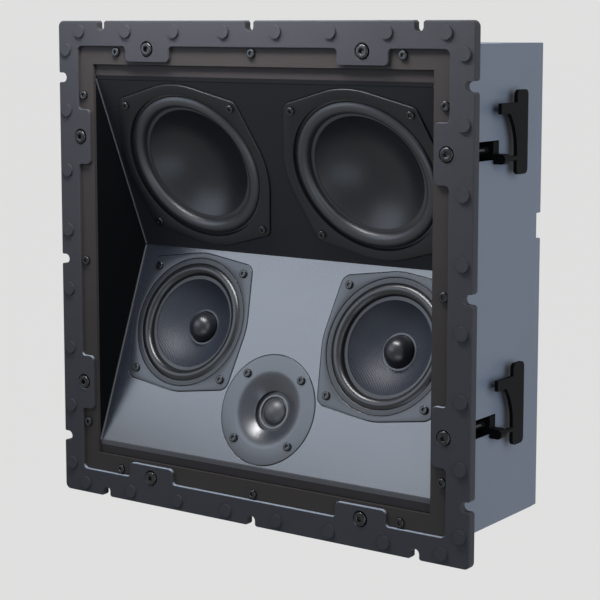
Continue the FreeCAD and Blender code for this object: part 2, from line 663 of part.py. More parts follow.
def build_surround(kind, side, place):
    """Rubber half roll between the basket's ledge and the cone's rim."""
    ledge = landing(kind)
    rim = rim_level(kind)
    name = f"{kind}_{side}_surround"
    keep(turned(name, [
        (f"{kind}_cone_r - cone_lip", rim),
        (f"{kind}_cone_r + cone_overlap", rim, f"{kind}_roll_r - rubber_wall", "left"),
        (f"{kind}_landing_r - {kind}_gasket - rubber_wall", ledge),
        (f"{kind}_landing_r - screw_gap", ledge),
        (f"{kind}_landing_r - screw_gap", f"{ledge} + rubber_wall"),
        (f"{kind}_landing_r - {kind}_gasket", f"{ledge} + rubber_wall", f"{kind}_roll_r", "right"),
        (f"{kind}_cone_r + cone_overlap - rubber_wall", f"{rim} + rubber_wall"),
        (f"{kind}_cone_r - cone_lip", f"{rim} + rubber_wall"),
    ]), name, place)


def coil_end(kind):
    return f"-({kind}_depth + plate_thickness + coil_overhang)"


def build_woofer_cone(side, place):
    """Dished one-piece cone with its voice coil former."""
    name = f"woofer_{side}_cone"
    rim = rim_level("woofer")
    edge = "(woofer_cone_r - cone_lip)"
    curve = f"(({edge}^2 + woofer_bowl^2) / (2 * woofer_bowl))"
    body = turned(name, [
        ("0", f"{rim} - woofer_bowl", curve, "right"),
        (edge, rim),
        ("woofer_cone_r + cone_overlap", rim),
        ("woofer_cone_r + cone_overlap", f"{rim} - cone_wall"),
        (edge, f"{rim} - cone_wall", curve, "left"),
        ("0", f"{rim} - cone_wall - woofer_bowl"),
    ])
    former = sketch_on(body, "XZ_Plane")
    rectangle(former, "woofer_coil_r - coil_wall / 2", "woofer_coil_r + coil_wall / 2", coil_end("woofer"),
              f"{rim} - woofer_bowl - cone_wall / 2 + woofer_coil_r^2 / (2 * {curve})")
    turn = body.newObject("PartDesign::Revolution", f"{name}_former")
    turn.Profile = former
    turn.ReferenceAxis = (former, ["V_Axis"])
    turn.Angle = 360
    body.Tip = turn
    keep(body, name, place)


def build_mid_cone(side, place):
    """Hollow-curved cone, open at its neck, with its voice coil former."""
    name = f"mid_{side}_cone"
    rim = rim_level("mid")
    neck = "mid_coil_r - coil_wall / 2"
    keep(turned(name, [
        (neck, f"{rim} - mid_bowl", "2 * mid_cone_r", "right"),
        ("mid_cone_r - cone_lip", rim),
        ("mid_cone_r + cone_overlap", rim),
        ("mid_cone_r + cone_overlap", f"{rim} - cone_wall"),
        ("mid_cone_r - cone_lip", f"{rim} - cone_wall", "2 * mid_cone_r", "left"),
        ("mid_coil_r + coil_wall / 2", f"{rim} - mid_bowl - cone_wall"),
        ("mid_coil_r + coil_wall / 2", coil_end("mid")),
        (neck, coil_end("mid")),
    ]), name, place)


def build_phase_plug(side, place):
    """Bullet on the pole piece, inside the cone's neck."""
    name = f"mid_{side}_phase_plug"
    keep(turned(name, [
        ("0", "-mid_depth"),
        ("plug_r - plug_step", "-mid_depth"),
        ("plug_r - plug_step", "-plug_top - plug_r - plug_skirt - plug_step"),
        ("plug_r", "-plug_top - plug_r - plug_skirt"),
        ("plug_r", "-plug_top - plug_r", "plug_r", "right"),
        ("0", "-plug_top"),
    ]), name, place)


def build_motor(kind, places):
    """Spider, top plate, magnet and yoke, each kept with its twin of the other side."""
    coil_out = f"({kind}_coil_r + coil_wall / 2)"
    coil_in = f"({kind}_coil_r - coil_wall / 2)"
    shelf = f"(-{kind}_depth + 3 * basket_wall)"
    plate_low = f"(-{kind}_depth - plate_thickness)"
    magnet_low = f"({plate_low} - {kind}_magnet_t)"
    plate_r = f"({kind}_magnet_r - basket_wall)"
    pieces = {
        "spiders": [
            (f"{coil_out} + opening_gap", shelf),
            (f"{kind}_seat_r - basket_wall - opening_gap", shelf),
            (f"{kind}_seat_r - basket_wall - opening_gap", f"{shelf} + rubber_wall"),
            (f"{coil_out} + opening_gap", f"{shelf} + rubber_wall"),
        ],
        "top_plates": [
            (f"{coil_out} + coil_gap", plate_low),
            (plate_r, plate_low),
            (plate_r, f"-{kind}_depth"),
            (f"{coil_out} + coil_gap", f"-{kind}_depth"),
        ],
        "magnets": [
            (f"{coil_out} + 2 * basket_wall", magnet_low),
            (f"{kind}_magnet_r", magnet_low),
            (f"{kind}_magnet_r", plate_low),
            (f"{coil_out} + 2 * basket_wall", plate_low),
        ],
        "yokes": [
            ("0", f"{magnet_low} - plate_thickness"),
            (plate_r, f"{magnet_low} - plate_thickness"),
            (plate_r, magnet_low),
            (f"{coil_in} - coil_gap", magnet_low),
            (f"{coil_in} - coil_gap", f"-{kind}_depth"),
            ("0", f"-{kind}_depth"),
        ],
    }
    for piece, corners in pieces.items():
        group(f"{kind}_{piece}", turned(f"{kind}_{piece}_master", corners), places.values())


def build_drivers():
    """Two woofers on the upper board and two midranges on the lower one."""
    for side, place in WOOFERS.items():
        build_basket("woofer", side, place)
        build_surround("woofer", side, place)
        build_woofer_cone(side, place)
    build_motor("woofer", WOOFERS)
    for side, place in MIDS.items():
        build_basket("mid", side, place)
        build_surround("mid", side, place)
        build_mid_cone(side, place)
        build_phase_plug(side, place)
    build_motor("mid", MIDS)


TWEETER_BACK = "(tweeter_proud - flare_depth - tweeter_flange)"
FLARE_CURVE = "((flare_r - throat_r)^2 + flare_depth^2) / (2 * flare_depth)"


def build_tweeter():
    """Flared faceplate, pressed dome with its roll, and the motor behind them."""
    face = turned("tweeter_faceplate", [
        ("throat_r", TWEETER_BACK),
        ("flare_r", TWEETER_BACK),
        ("flare_r", "tweeter_proud - tweeter_flange"),
        ("tweeter_r", "tweeter_proud - tweeter_flange"),
        ("tweeter_r", "tweeter_proud - tab_edge_r"),
        ("tweeter_r - tab_edge_r", "tweeter_proud"),
        ("flare_r", "tweeter_proud", FLARE_CURVE, "right"),
        ("throat_r", "tweeter_proud - flare_depth"),
    ])
    hole = sketch_on(face, "XY_Plane", "tweeter_proud")
    ring(hole, "tweeter_bolt_r", "0", "driver_screw_d / 2 + screw_gap")
    pattern(face, "Z_Axis", [feature(face, "Pocket", hole, "tweeter_flange")])
    keep(face, "tweeter_faceplate", TWEETER)

    curve = "((dome_r^2 + dome_height^2) / (2 * dome_height))"
    foot = f"({TWEETER_BACK} + coil_wall)"
    keep(turned("tweeter_dome", [
        ("throat_r - screw_gap", TWEETER_BACK),
        ("throat_r - screw_gap", foot),
        ("throat_r - 2 * coil_wall", foot, "dome_roll_r", "right"),
        ("dome_r", foot, curve, "right"),
        ("0", f"{foot} + dome_height"),
        ("0", f"{foot} + dome_height - coil_wall", curve, "left"),
        ("dome_r", TWEETER_BACK),
    ]), "tweeter_dome", TWEETER)

    plate_low = f"({TWEETER_BACK} - plate_thickness)"
    magnet_low = f"({plate_low} - tweeter_magnet_t)"
    keep(turned("tweeter_top_plate", [
        ("dome_r + coil_gap", plate_low),
        ("tweeter_magnet_r", plate_low),
        ("tweeter_magnet_r", TWEETER_BACK),
        ("dome_r + coil_gap", TWEETER_BACK),
    ]), "tweeter_top_plate", TWEETER)
    keep(turned("tweeter_magnet", [
        ("dome_r + basket_wall", magnet_low),
        ("tweeter_magnet_r", magnet_low),
        ("tweeter_magnet_r", plate_low),
        ("dome_r + basket_wall", plate_low),
    ]), "tweeter_magnet", TWEETER)
    keep(turned("tweeter_yoke", [
        ("0", f"{magnet_low} - plate_thickness"),
        ("tweeter_magnet_r", f"{magnet_low} - plate_thickness"),
        ("tweeter_magnet_r", magnet_low),
        ("dome_r - coil_gap", magnet_low),
        ("dome_r - coil_gap", f"{TWEETER_BACK} - coil_gap"),
        ("0", f"{TWEETER_BACK} - coil_gap"),
    ]), "tweeter_yoke", TWEETER)


# Baffle boards

def drill(name, place, radius, depth, across="0"):
    """A cylinder that cuts to a depth below a board's face, from a little above it."""
    tool = doc.addObject("Part::Cylinder", name)
    tool.setExpression("Radius", bound(radius))
    tool.setExpression("Height", bound(f"{depth} + driver_head_h"))
    sunk = FreeCAD.Vector(number(across), 0, -number(depth))
    tool.Placement = place.multiply(FreeCAD.Placement(sunk, FreeCAD.Rotation()))
    return tool


def bolt_holes(kind, name, place):
    """Pilot holes for the four screws of a driver."""
    tools = []
    for quarter in (0, 90, 180, 270):
        turn = FreeCAD.Placement(FreeCAD.Vector(0, 0, 0), FreeCAD.Rotation(Z_AXIS, quarter))
        tools.append(drill(f"{name}_pilot_{quarter}", place.multiply(turn),
                           "driver_screw_d / 2 + running_gap", "2 * board_thickness", f"{kind}_bolt_r"))
    return tools


def cut_board(name, sign, band, tools):
    """A mitred board between the cabinet's side walls, less the tools for its drivers."""
    blank = new_body(f"{name}_blank")
    rise = f"({INNER_HALF} - {band} - ({sign}1) * valley_height)"
    length = f"sqrt(valley_setback^2 + {rise}^2)"
    lean = f"({rise} / {length})"
    side = sketch_on(blank, "YZ_Plane", f"-{INNER_HALF}")
    valley = f"({CABINET_FRONT} + valley_setback)"
    back = f"({CABINET_FRONT} + (board_thickness - {band} * valley_setback / {length}) / {lean})"
    corners = [
        (CABINET_FRONT, f"{sign}{INNER_HALF}"),
        (CABINET_FRONT, f"{sign}({INNER_HALF} - {band})"),
        (valley, "valley_height"),
        (f"{valley} + board_thickness / {lean}", "valley_height"),
        (back, f"{sign}{INNER_HALF}"),
    ]
    outline(side, corners)
    feature(blank, "Pad", side, f"2 * {INNER_HALF}")
    union = doc.addObject("Part::MultiFuse", f"{name}_tools")
    union.Shapes = tools
    board = doc.addObject("Part::Cut", name)
    board.Base = blank
    board.Tool = union
    keep(board, name)


def build_boards():
    """Woofer board above, midrange and tweeter board below."""
    for name, sign, band, kind, places in (
        ("woofer_board", "", "top_band", "woofer", WOOFERS),
        ("midrange_board", "-", "bottom_band", "mid", MIDS),
    ):
        tools = []
        for side, place in places.items():
            rebate = new_body(f"{kind}_{side}_rebate")
            ears = ear_plate(rebate, kind, "rebate_gap", flange_low(kind), f"2 * {kind}_flange")
            pattern(rebate, "Z_Axis", ears)
            rebate.Placement = place
            tools.append(rebate)
            tools.append(drill(f"{kind}_{side}_hole", place, f"{kind}_landing_r + basket_wall",
                               "3 * board_thickness"))
            tools.extend(bolt_holes(kind, f"{kind}_{side}", place))
        if kind == "mid":
            tools.append(drill("tweeter_rebate", TWEETER, "tweeter_r + rebate_gap",
                               "tweeter_flange - tweeter_proud"))
            tools.append(drill("tweeter_hole", TWEETER, "flare_r + rebate_gap", "3 * board_thickness"))
            tools.extend(bolt_holes("tweeter", "tweeter", TWEETER))
        cut_board(name, sign, band, tools)


# Clamps

CLAMPS = {
    "right_upper": ("right", "clamp_offset"),
    "right_lower": ("right", "-clamp_offset"),
    "bottom_right": ("bottom", "clamp_offset"),
    "bottom_left": ("bottom", "-clamp_offset"),
    "left_lower": ("left", "clamp_offset"),
    "left_upper": ("left", "-clamp_offset"),
    "top_left": ("top", "clamp_offset"),
    "top_right": ("top", "-clamp_offset"),
}


def build_clamp(spot, side, offset):
    """A carriage on the clamp screw, and the dog that turns on the carriage's pivot."""
    pivot = f"({offset} - pivot_drop)"
    turn = side_turn(side)
    half = "(channel_width / 2 - carriage_gap)"
    inner = f"{CABINET_HALF} - channel_depth + carriage_gap"
    outer = f"{CABINET_HALF} + carriage_gap"

    name = f"carriage_{spot}"
    carriage = new_body(name)
    block = sketch_on(carriage, "XZ_Plane", "-carriage_rest")
    outline(block, [
        (inner, f"{offset} - {half}"),
        (outer, f"{offset} - {half}"),
        (outer, f"{pivot} - lug_r"),
        (PIVOT_X, f"{pivot} - lug_r", "lug_r", "right"),
        (f"{PIVOT_X} + lug_r", pivot, "lug_r", "right"),
        (PIVOT_X, f"{pivot} + lug_r"),
        (outer, f"{pivot} + lug_r"),
        (outer, f"{offset} + {half}"),
        (inner, f"{offset} + {half}"),
    ])
    ring(block, "clamp_line", offset, "clamp_screw_d / 2 + running_gap")
    ring(block, PIVOT_X, pivot, "pivot_d / 2 + running_gap")
    feature(carriage, "Pad", block, "carriage_length", True)
    keep(carriage, name, turn)

    name = f"dog_{spot}"
    dog = new_body(name)
    plate = sketch_on(dog, "YZ_Plane", f"{PIVOT_X} - dog_thickness / 2")
    low = f"{pivot} - dog_heel"
    high = f"{pivot} + dog_reach"
    back = "dog_front + dog_width"
    tooth = f"{pivot} + tooth_height"
    outline(plate, [
        ("dog_front + dog_corner_r", low),
        (f"{back} - dog_corner_r", low, "dog_corner_r", "right"),
        (back, f"{low} + dog_corner_r"),
        (back, f"{high} - dog_corner_r", "dog_corner_r", "right"),
        (f"{back} - dog_corner_r", high),
        ("dog_front + dog_corner_r", high, "dog_corner_r", "right"),
        ("dog_front", f"{high} - dog_corner_r"),
        ("dog_front", f"{tooth} + tooth_width"),
        ("dog_front - tooth_length", f"{tooth} + tooth_width"),
        ("dog_front - tooth_length", tooth),
        ("dog_front - gusset_length", tooth, "gusset_r", "left"),
        ("dog_front", f"{tooth} - gusset_height"),
        ("dog_front", f"{low} + dog_corner_r", "dog_corner_r", "right"),
    ])
    feature(dog, "Pad", plate, "dog_thickness")
    shaft = sketch_on(dog, "XZ_Plane", "-carriage_rest")
    ring(shaft, PIVOT_X, pivot, "pivot_d / 2")
    feature(dog, "Pad", shaft, "dog_front - carriage_rest + dog_corner_r", True)
    keep(dog, name, turn)


# Fasteners

def screw_profile(shank, head, height, length):
    """Pan-headed screw: head above its seat at height 0, plain shank below."""
    return [
        ("0", f"-({length})"),
        (f"{shank} / 2", f"-({length})"),
        (f"{shank} / 2", "0"),
        (f"{head} / 2", "0"),
        (f"{head} / 2", f"{height} / 2"),
        (f"{head} / 2 - {height} / 2", height),
        ("0", height),
    ]


def build_fasteners():
    """Frame, clamp and driver screws."""
    screw = turned("frame_screw_master", screw_profile(
        "frame_screw_d", "frame_screw_head_d", "frame_screw_head_h", "frame_screw_length"))
    group("frame_screws", screw, side_places(
        ("-frame_screw_spacing", "0", "frame_screw_spacing"), SCREW_LINE, "ledge_drop - frame_thickness"))
    reach = f"channel_length - carriage_gap + {CABINET_FRONT} + frame_thickness - clamp_sink_depth"
    screw = turned("clamp_screw_master", screw_profile(
        "clamp_screw_d", "clamp_head_d", "clamp_head_h", reach))
    group("clamp_screws", screw, side_places(
        ("-clamp_offset", "clamp_offset"), "clamp_line", "clamp_sink_depth - frame_thickness"))
    screw = turned("driver_screw_master", screw_profile(
        "driver_screw_d", "driver_head_d", "driver_head_h", "driver_screw_length"))
    for kind, places in (("woofer", WOOFERS), ("mid", MIDS), ("tweeter", {"middle": TWEETER})):
        spots = []
        for place in places.values():
            for quarter in (0, 90, 180, 270):
                turn = FreeCAD.Placement(FreeCAD.Vector(0, 0, 0), FreeCAD.Rotation(Z_AXIS, quarter))
                bolt = FreeCAD.Vector(number(f"{kind}_bolt_r"), 0, number(f"{kind}_proud"))
                spots.append(place.multiply(turn).multiply(FreeCAD.Placement(bolt, FreeCAD.Rotation())))
        group(f"{kind}_screws", screw, spots)


# Connections and crossover

def build_terminals():
    """Round cup let into the back panel, with two binding posts and their nuts."""
    middle = FreeCAD.Vector(0, number(PANEL_BACK), number("terminal_height"))
    cup = turned("terminal_cup", [
        ("0", "-terminal_depth"),
        ("terminal_r", "-terminal_depth"),
        ("terminal_r", "0"),
        ("terminal_flange_r", "0"),
        ("terminal_flange_r", "terminal_flange"),
        ("terminal_r - terminal_wall", "terminal_flange"),
        ("terminal_r - terminal_wall", "terminal_wall - terminal_depth"),
        ("0", "terminal_wall - terminal_depth"),
    ])
    holes = sketch_on(cup, "XY_Plane")
    for sign in ("-", ""):
        ring(holes, f"{sign}post_spacing / 2", "0", "post_r + running_gap")
    feature(cup, "Pocket", holes, "terminal_depth")
    keep(cup, "terminal_cup", FreeCAD.Placement(middle, TURN_TO_BACK))

    post = turned("binding_post_master", [
        ("0", "-terminal_wall - post_tail"),
        ("post_r", "-terminal_wall - post_tail"),
        ("post_r", "0"),
        ("post_collar_r", "0"),
        ("post_collar_r", "post_collar"),
        ("post_r", "post_collar"),
        ("post_r", "post_length"),
        ("0", "post_length"),
    ])
    nut = new_body("terminal_nut_master")
    across = sketch_on(nut, "XY_Plane", "post_collar")
    hexagon = []
    for corner in range(6):
        angle = 60 * corner
        hexagon.append((f"nut_r * cos({angle})", f"nut_r * sin({angle})"))
    outline(across, hexagon)
    ring(across, "0", "0", "post_r + running_gap")
    feature(nut, "Pad", across, "nut_length")
    spots = []
    for sign in (-1, 1):
        floor = FreeCAD.Vector(sign * number("post_spacing / 2"),
                               number(f"{PANEL_BACK} - terminal_depth + terminal_wall"),
                               number("terminal_height"))
        spots.append(FreeCAD.Placement(floor, TURN_TO_BACK))
    group("binding_posts", post, spots)
    group("terminal_nut_left", nut, spots[:1])
    group("terminal_nut_right", nut, spots[1:])


def build_crossover():
    """Filter board on the inside of the back panel, with its chokes and capacitors."""
    sheet_front = f"({PANEL_FRONT} - board_sheet)"
    board = new_body("crossover_board")
    face = sketch_on(board, "XZ_Plane", f"-{sheet_front}")
    rectangle(face, "-board_width / 2", "board_width / 2",
              "board_height - board_length / 2", "board_height + board_length / 2")
    feature(board, "Pad", face, "board_sheet", True)
    keep(board, "crossover_board")

    choke = turned("choke_master", [
        ("choke_bore_r", "0"),
        ("choke_r", "0"),
        ("choke_r", "choke_height"),
        ("choke_bore_r", "choke_height"),
    ])
    spots = []
    for sign in (-1, 1):
        across = sign * number("choke_spacing / 2")
        foot = FreeCAD.Vector(across, number(sheet_front), number("board_height"))
        spots.append(FreeCAD.Placement(foot, TURN_TO_FRONT))
    group("crossover_chokes", choke, spots)

    can = turned("capacitor_master", [
        ("0", "-capacitor_length / 2"),
        ("capacitor_r", "-capacitor_length / 2"),
        ("capacitor_r", "capacitor_length / 2"),
        ("0", "capacitor_length / 2"),
    ])
    lying = FreeCAD.Rotation(Y_AXIS, 90)
    spots = []
    for step in (-1, 0, 1):
        foot = FreeCAD.Vector(0, number(f"{sheet_front} - capacitor_r"),
                              number(f"board_height + {step} * capacitor_pitch"))
        spots.append(FreeCAD.Placement(foot, lying))
    group("crossover_capacitors", can, spots)


build_mounting_frame()
build_cabinet()
build_boards()
build_drivers()
build_tweeter()
for spot, (side, offset) in CLAMPS.items():
    build_clamp(spot, side, offset)
build_fasteners()
build_terminals()
build_crossover()
doc.recompute()

# Nothing is written unless every object is sound
for item in doc.Objects:
    if "Invalid" in item.State or "Error" in item.State:
        raise RuntimeError(f"{item.Label} failed: {item.State}")
for name, piece in nodes.items():
    if piece.Shape.isNull() or not piece.Shape.isValid():
        raise RuntimeError(f"{name} has no valid shape")

os.makedirs("parts", exist_ok=True)
for name, piece in nodes.items():
    piece.Shape.exportStep(f"parts/{name}.step")
print(f"{len(nodes)} pieces written")
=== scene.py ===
import json
import math

import bmesh
import bpy
import numpy as np
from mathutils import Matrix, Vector

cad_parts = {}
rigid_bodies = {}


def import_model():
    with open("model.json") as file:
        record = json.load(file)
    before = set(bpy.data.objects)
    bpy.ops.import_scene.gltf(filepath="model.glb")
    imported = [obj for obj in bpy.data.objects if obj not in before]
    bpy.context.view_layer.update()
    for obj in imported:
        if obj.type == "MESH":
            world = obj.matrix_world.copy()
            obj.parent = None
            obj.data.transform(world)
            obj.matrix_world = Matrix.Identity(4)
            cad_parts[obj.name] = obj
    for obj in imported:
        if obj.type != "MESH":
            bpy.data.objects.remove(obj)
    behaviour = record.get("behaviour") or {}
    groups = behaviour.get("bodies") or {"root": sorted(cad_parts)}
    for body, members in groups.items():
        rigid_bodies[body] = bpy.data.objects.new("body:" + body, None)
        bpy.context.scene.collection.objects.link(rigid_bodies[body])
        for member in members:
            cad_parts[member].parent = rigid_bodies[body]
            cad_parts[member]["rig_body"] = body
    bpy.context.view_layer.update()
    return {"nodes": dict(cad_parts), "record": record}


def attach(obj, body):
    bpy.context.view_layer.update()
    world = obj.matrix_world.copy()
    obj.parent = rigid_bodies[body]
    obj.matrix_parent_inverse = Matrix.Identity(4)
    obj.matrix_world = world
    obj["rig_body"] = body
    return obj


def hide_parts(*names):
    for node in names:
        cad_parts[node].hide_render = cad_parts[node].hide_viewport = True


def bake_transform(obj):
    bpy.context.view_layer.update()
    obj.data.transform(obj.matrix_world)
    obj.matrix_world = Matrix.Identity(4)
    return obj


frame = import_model()
nodes = frame["nodes"]
slotOf = {row["node"]: row["material_slot"] for row in frame["record"]["subparts"]}
mm = 0.001
hardEdge = math.radians(38)
sides = dict(left=-1, right=1)
print("frame loaded:", len(nodes), "nodes")


# Shader maths

class Wire:
    # one socket of a node tree; arithmetic on it adds Math nodes, and node() makes any other node
    def __init__(self, tree, socket=None):
        self.tree = tree
        self.socket = socket

    def node(self, kind, settings=None, inputs=None, out=0):
        made = self.tree.nodes.new(kind)
        for name, value in (settings or {}).items():
            setattr(made, name, value)
        for name, value in (inputs or {}).items():
            if isinstance(value, Wire):
                self.tree.links.new(value.socket, made.inputs[name])
            else:
                made.inputs[name].default_value = value
        return Wire(self.tree, made.outputs[out]) if len(made.outputs) else made

    def maths(self, operation, first, second):
        return self.node("ShaderNodeMath", {"operation": operation}, {0: first, 1: second})

    def __add__(self, other):
        return self.maths("ADD", self, other)

    def __mul__(self, other):
        return self.maths("MULTIPLY", self, other)

    def __gt__(self, other):
        return self.maths("GREATER_THAN", self, other)

    def __lt__(self, other):
        return self.maths("LESS_THAN", self, other)


def newMaterial(name):
    made = bpy.data.materials.new(name)
    made.use_nodes = True
    made.node_tree.nodes.clear()
    return made, Wire(made.node_tree)


def place3(wire):
    return wire.node("ShaderNodeTexCoord", out="Object")


def axisOf(wire, where, axis):
    return wire.node("ShaderNodeSeparateXYZ", {}, {0: where}, out=axis)


def unsigned(wire, value):
    return wire.maths("ABSOLUTE", value, 0.0)


def outwards(wire, where):
    # the larger of the distances from the middle, across and up
    across, up = (unsigned(wire, axisOf(wire, where, axis)) for axis in "XZ")
    return wire.maths("MAXIMUM", across, up)


def between(wire, value, low, high, least=0.0, most=1.0):
    # least where the value is low, most where it is high, and held beyond both
    return wire.node("ShaderNodeMapRange", {}, {0: value, 1: low, 2: high, 3: least, 4: most})


octaves = dict(slow=dict(detail=3.0, rough=0.55), fine=dict(detail=2.0, rough=0.6),
               rolled=dict(detail=3.0, rough=0.5), cloth=dict(detail=4.0, rough=0.55))


def noise(wire, where, scale, kind):
    s = octaves[kind]
    return wire.node("ShaderNodeTexNoise", {}, {
        "Vector": where, "Scale": scale, "Detail": s["detail"], "Roughness": s["rough"]}, out="Fac")


def weighted(patterns, weights, base=0.0):
    # the base and a share of each pattern
    total = base
    for pattern, weight in zip(patterns, weights):
        total = pattern * weight + total
    return total


def blendColour(wire, factor, first, second):
    # Mix in its colour form: sockets 6 and 7 are the two colours, output 2 the result
    return wire.node("ShaderNodeMix", {"data_type": "RGBA"}, {0: factor, 6: first, 7: second}, out=2)


def shade(colour, factor):
    return tuple(min(1.0, channel * factor) for channel in colour[:3]) + (1,)


def toned(wire, factor, colour, low, high):
    # a colour that moves between two strengths of itself
    return blendColour(wire, factor, shade(colour, low), shade(colour, high))


def bump(wire, height, s):
    return wire.node("ShaderNodeBump", {}, {
        "Height": height, "Strength": s["relief"], "Distance": s["reliefDepth"]})


def principled(wire, inputs):
    return wire.node("ShaderNodeBsdfPrincipled", {}, inputs)


def output(wire, shader):
    wire.node("ShaderNodeOutputMaterial", {}, {"Surface": shader})


# Materials

satinMix = dict(toneBy=(0.7, 0.3), toneLow=0.35, toneHigh=0.65, roughBy=(0.07, 0.05), roughDrop=0.06)


def satin(name, s, m):
    # paint or moulded plastic: a colour that drifts slowly, a fine grain in the sheen and in the relief
    paint, wire = newMaterial(name)
    where = place3(wire)
    drift = noise(wire, where, s["driftScale"], "slow")
    grain = noise(wire, where, s["grainScale"], "fine")
    tone = between(wire, weighted((drift, grain), m["toneBy"]), m["toneLow"], m["toneHigh"])
    output(wire, principled(wire, {
        "Base Color": toned(wire, tone, s["colour"], 1 - s["drift"], 1 + s["drift"]),
        "Roughness": weighted((drift, grain), m["roughBy"], s["rough"] - m["roughDrop"]),
        "Metallic": s.get("metal", 0.0),
        "Specular IOR Level": s.get("shine", 0.5),
        "Normal": bump(wire, grain, s),
    }))
    return paint


finishes = {
    "basket_paint": dict(colour=(0.008, 0.0083, 0.01), rough=0.44, drift=0.1, driftScale=30,
                         grainScale=1700, relief=0.4, reliefDepth=0.0001, shine=0.24),
    "mid_flange": dict(colour=(0.016, 0.0185, 0.024), rough=0.31, drift=0.06, driftScale=30,
                       grainScale=1700, relief=0.35, reliefDepth=0.0001, shine=0.5),
    "faceplate_plastic": dict(colour=(0.02, 0.0225, 0.029), rough=0.3, drift=0.05, driftScale=30,
                              grainScale=1700, relief=0.25, reliefDepth=0.00008, shine=0.66),
    "gasket_rubber": dict(colour=(0.009, 0.0102, 0.0135), rough=0.42, drift=0.06, driftScale=30,
                          grainScale=1700, relief=0.35, reliefDepth=0.0001, shine=0.42),
    "clamp_plastic": dict(colour=(0.004, 0.004, 0.0045), rough=0.5, drift=0.12, driftScale=40,
                          grainScale=1400, relief=0.4, reliefDepth=0.0001, shine=0.04),
    "filler": dict(colour=(0.03, 0.031, 0.034), rough=0.35, drift=0.1, driftScale=60,
                   grainScale=900, relief=0.2, reliefDepth=0.00006),
    "cup_plastic": dict(colour=(0.02, 0.02, 0.022), rough=0.48, drift=0.1, driftScale=40,
                        grainScale=1400, relief=0.4, reliefDepth=0.0001),
    "nut_plastic": dict(colour=(0.02, 0.02, 0.022), rough=0.3, drift=0.1, driftScale=60,
                        grainScale=1400, relief=0.3, reliefDepth=0.00008),
    "surround_rubber": dict(colour=(0.012, 0.013, 0.016), rough=0.4, drift=0.1, driftScale=40,
                            grainScale=900, relief=0.2, reliefDepth=0.00006, shine=0.5),
    "mid_rubber": dict(colour=(0.006, 0.0065, 0.008), rough=0.3, drift=0.1, driftScale=40,
                       grainScale=900, relief=0.2, reliefDepth=0.00006, shine=0.4),
    "woofer_cone": dict(colour=(0.007, 0.0078, 0.01), rough=0.37, drift=0.14, driftScale=18,
                        grainScale=2200, relief=0.3, reliefDepth=0.00006, shine=0.32),
    "plug_gloss": dict(colour=(0.01, 0.011, 0.014), rough=0.31, drift=0.05, driftScale=60,
                       grainScale=900, relief=0.05, reliefDepth=0.00002, shine=0.38),
    "black_screw": dict(colour=(0.005, 0.005, 0.006), rough=0.17, drift=0.2, driftScale=120,
                        grainScale=1500, relief=0.15, reliefDepth=0.00004, shine=0.35),
    "former_metal": dict(colour=(0.05, 0.05, 0.052), rough=0.34, drift=0.05, driftScale=80,
                         grainScale=900, relief=0.1, reliefDepth=0.00003, metal=1.0),
    "motor_steel": dict(colour=(0.45, 0.45, 0.46), rough=0.38, drift=0.1, driftScale=40,
                        grainScale=900, relief=0.2, reliefDepth=0.00005, metal=1.0),
    "ferrite": dict(colour=(0.05, 0.05, 0.055), rough=0.62, drift=0.15, driftScale=60,
                    grainScale=700, relief=0.5, reliefDepth=0.0002),
    "post_brass": dict(colour=(0.75, 0.58, 0.28), rough=0.28, drift=0.06, driftScale=80,
                       grainScale=900, relief=0.1, reliefDepth=0.00003, metal=1.0),
    "filter_board": dict(colour=(0.05, 0.16, 0.075), rough=0.42, drift=0.12, driftScale=60,
                         grainScale=900, relief=0.3, reliefDepth=0.0001),
    "choke_copper": dict(colour=(0.6, 0.28, 0.12), rough=0.35, drift=0.12, driftScale=90,
                         grainScale=900, relief=0.5, reliefDepth=0.0002, metal=1.0),
    "capacitor_film": dict(colour=(0.5, 0.42, 0.1), rough=0.4, drift=0.08, driftScale=60,
                           grainScale=900, relief=0.2, reliefDepth=0.0001),
}
material = {name: satin(name, settings, satinMix) for name, settings in finishes.items()}


framePaint = dict(ring=(0.037, 0.0365, 0.041), ledge=(0.034, 0.0295, 0.028), low=0.82, high=1.18,
                  ledgeBehind=-0.0052, ledgeWithin=0.19,
                  # the next entries set the painted highlight on the ring's upward step: its colour, where it
                  # lies and its fade
                  paintedHighlight=(0.21, 0.235, 0.28), highlightWithin=0.1825, highlightFront=-0.0045,
                  highlightLow=0.25, highlightHigh=0.8, fadeTop=0.05, fadeFoot=-0.12, fadeLeast=0.06,
                  driftScale=14.0, grainScale=1500.0, toneBy=(0.6, 0.4), rough=0.4,
                  roughBy=(0.08, 0.06), shine=0.08, relief=0.5, reliefDepth=0.00016)


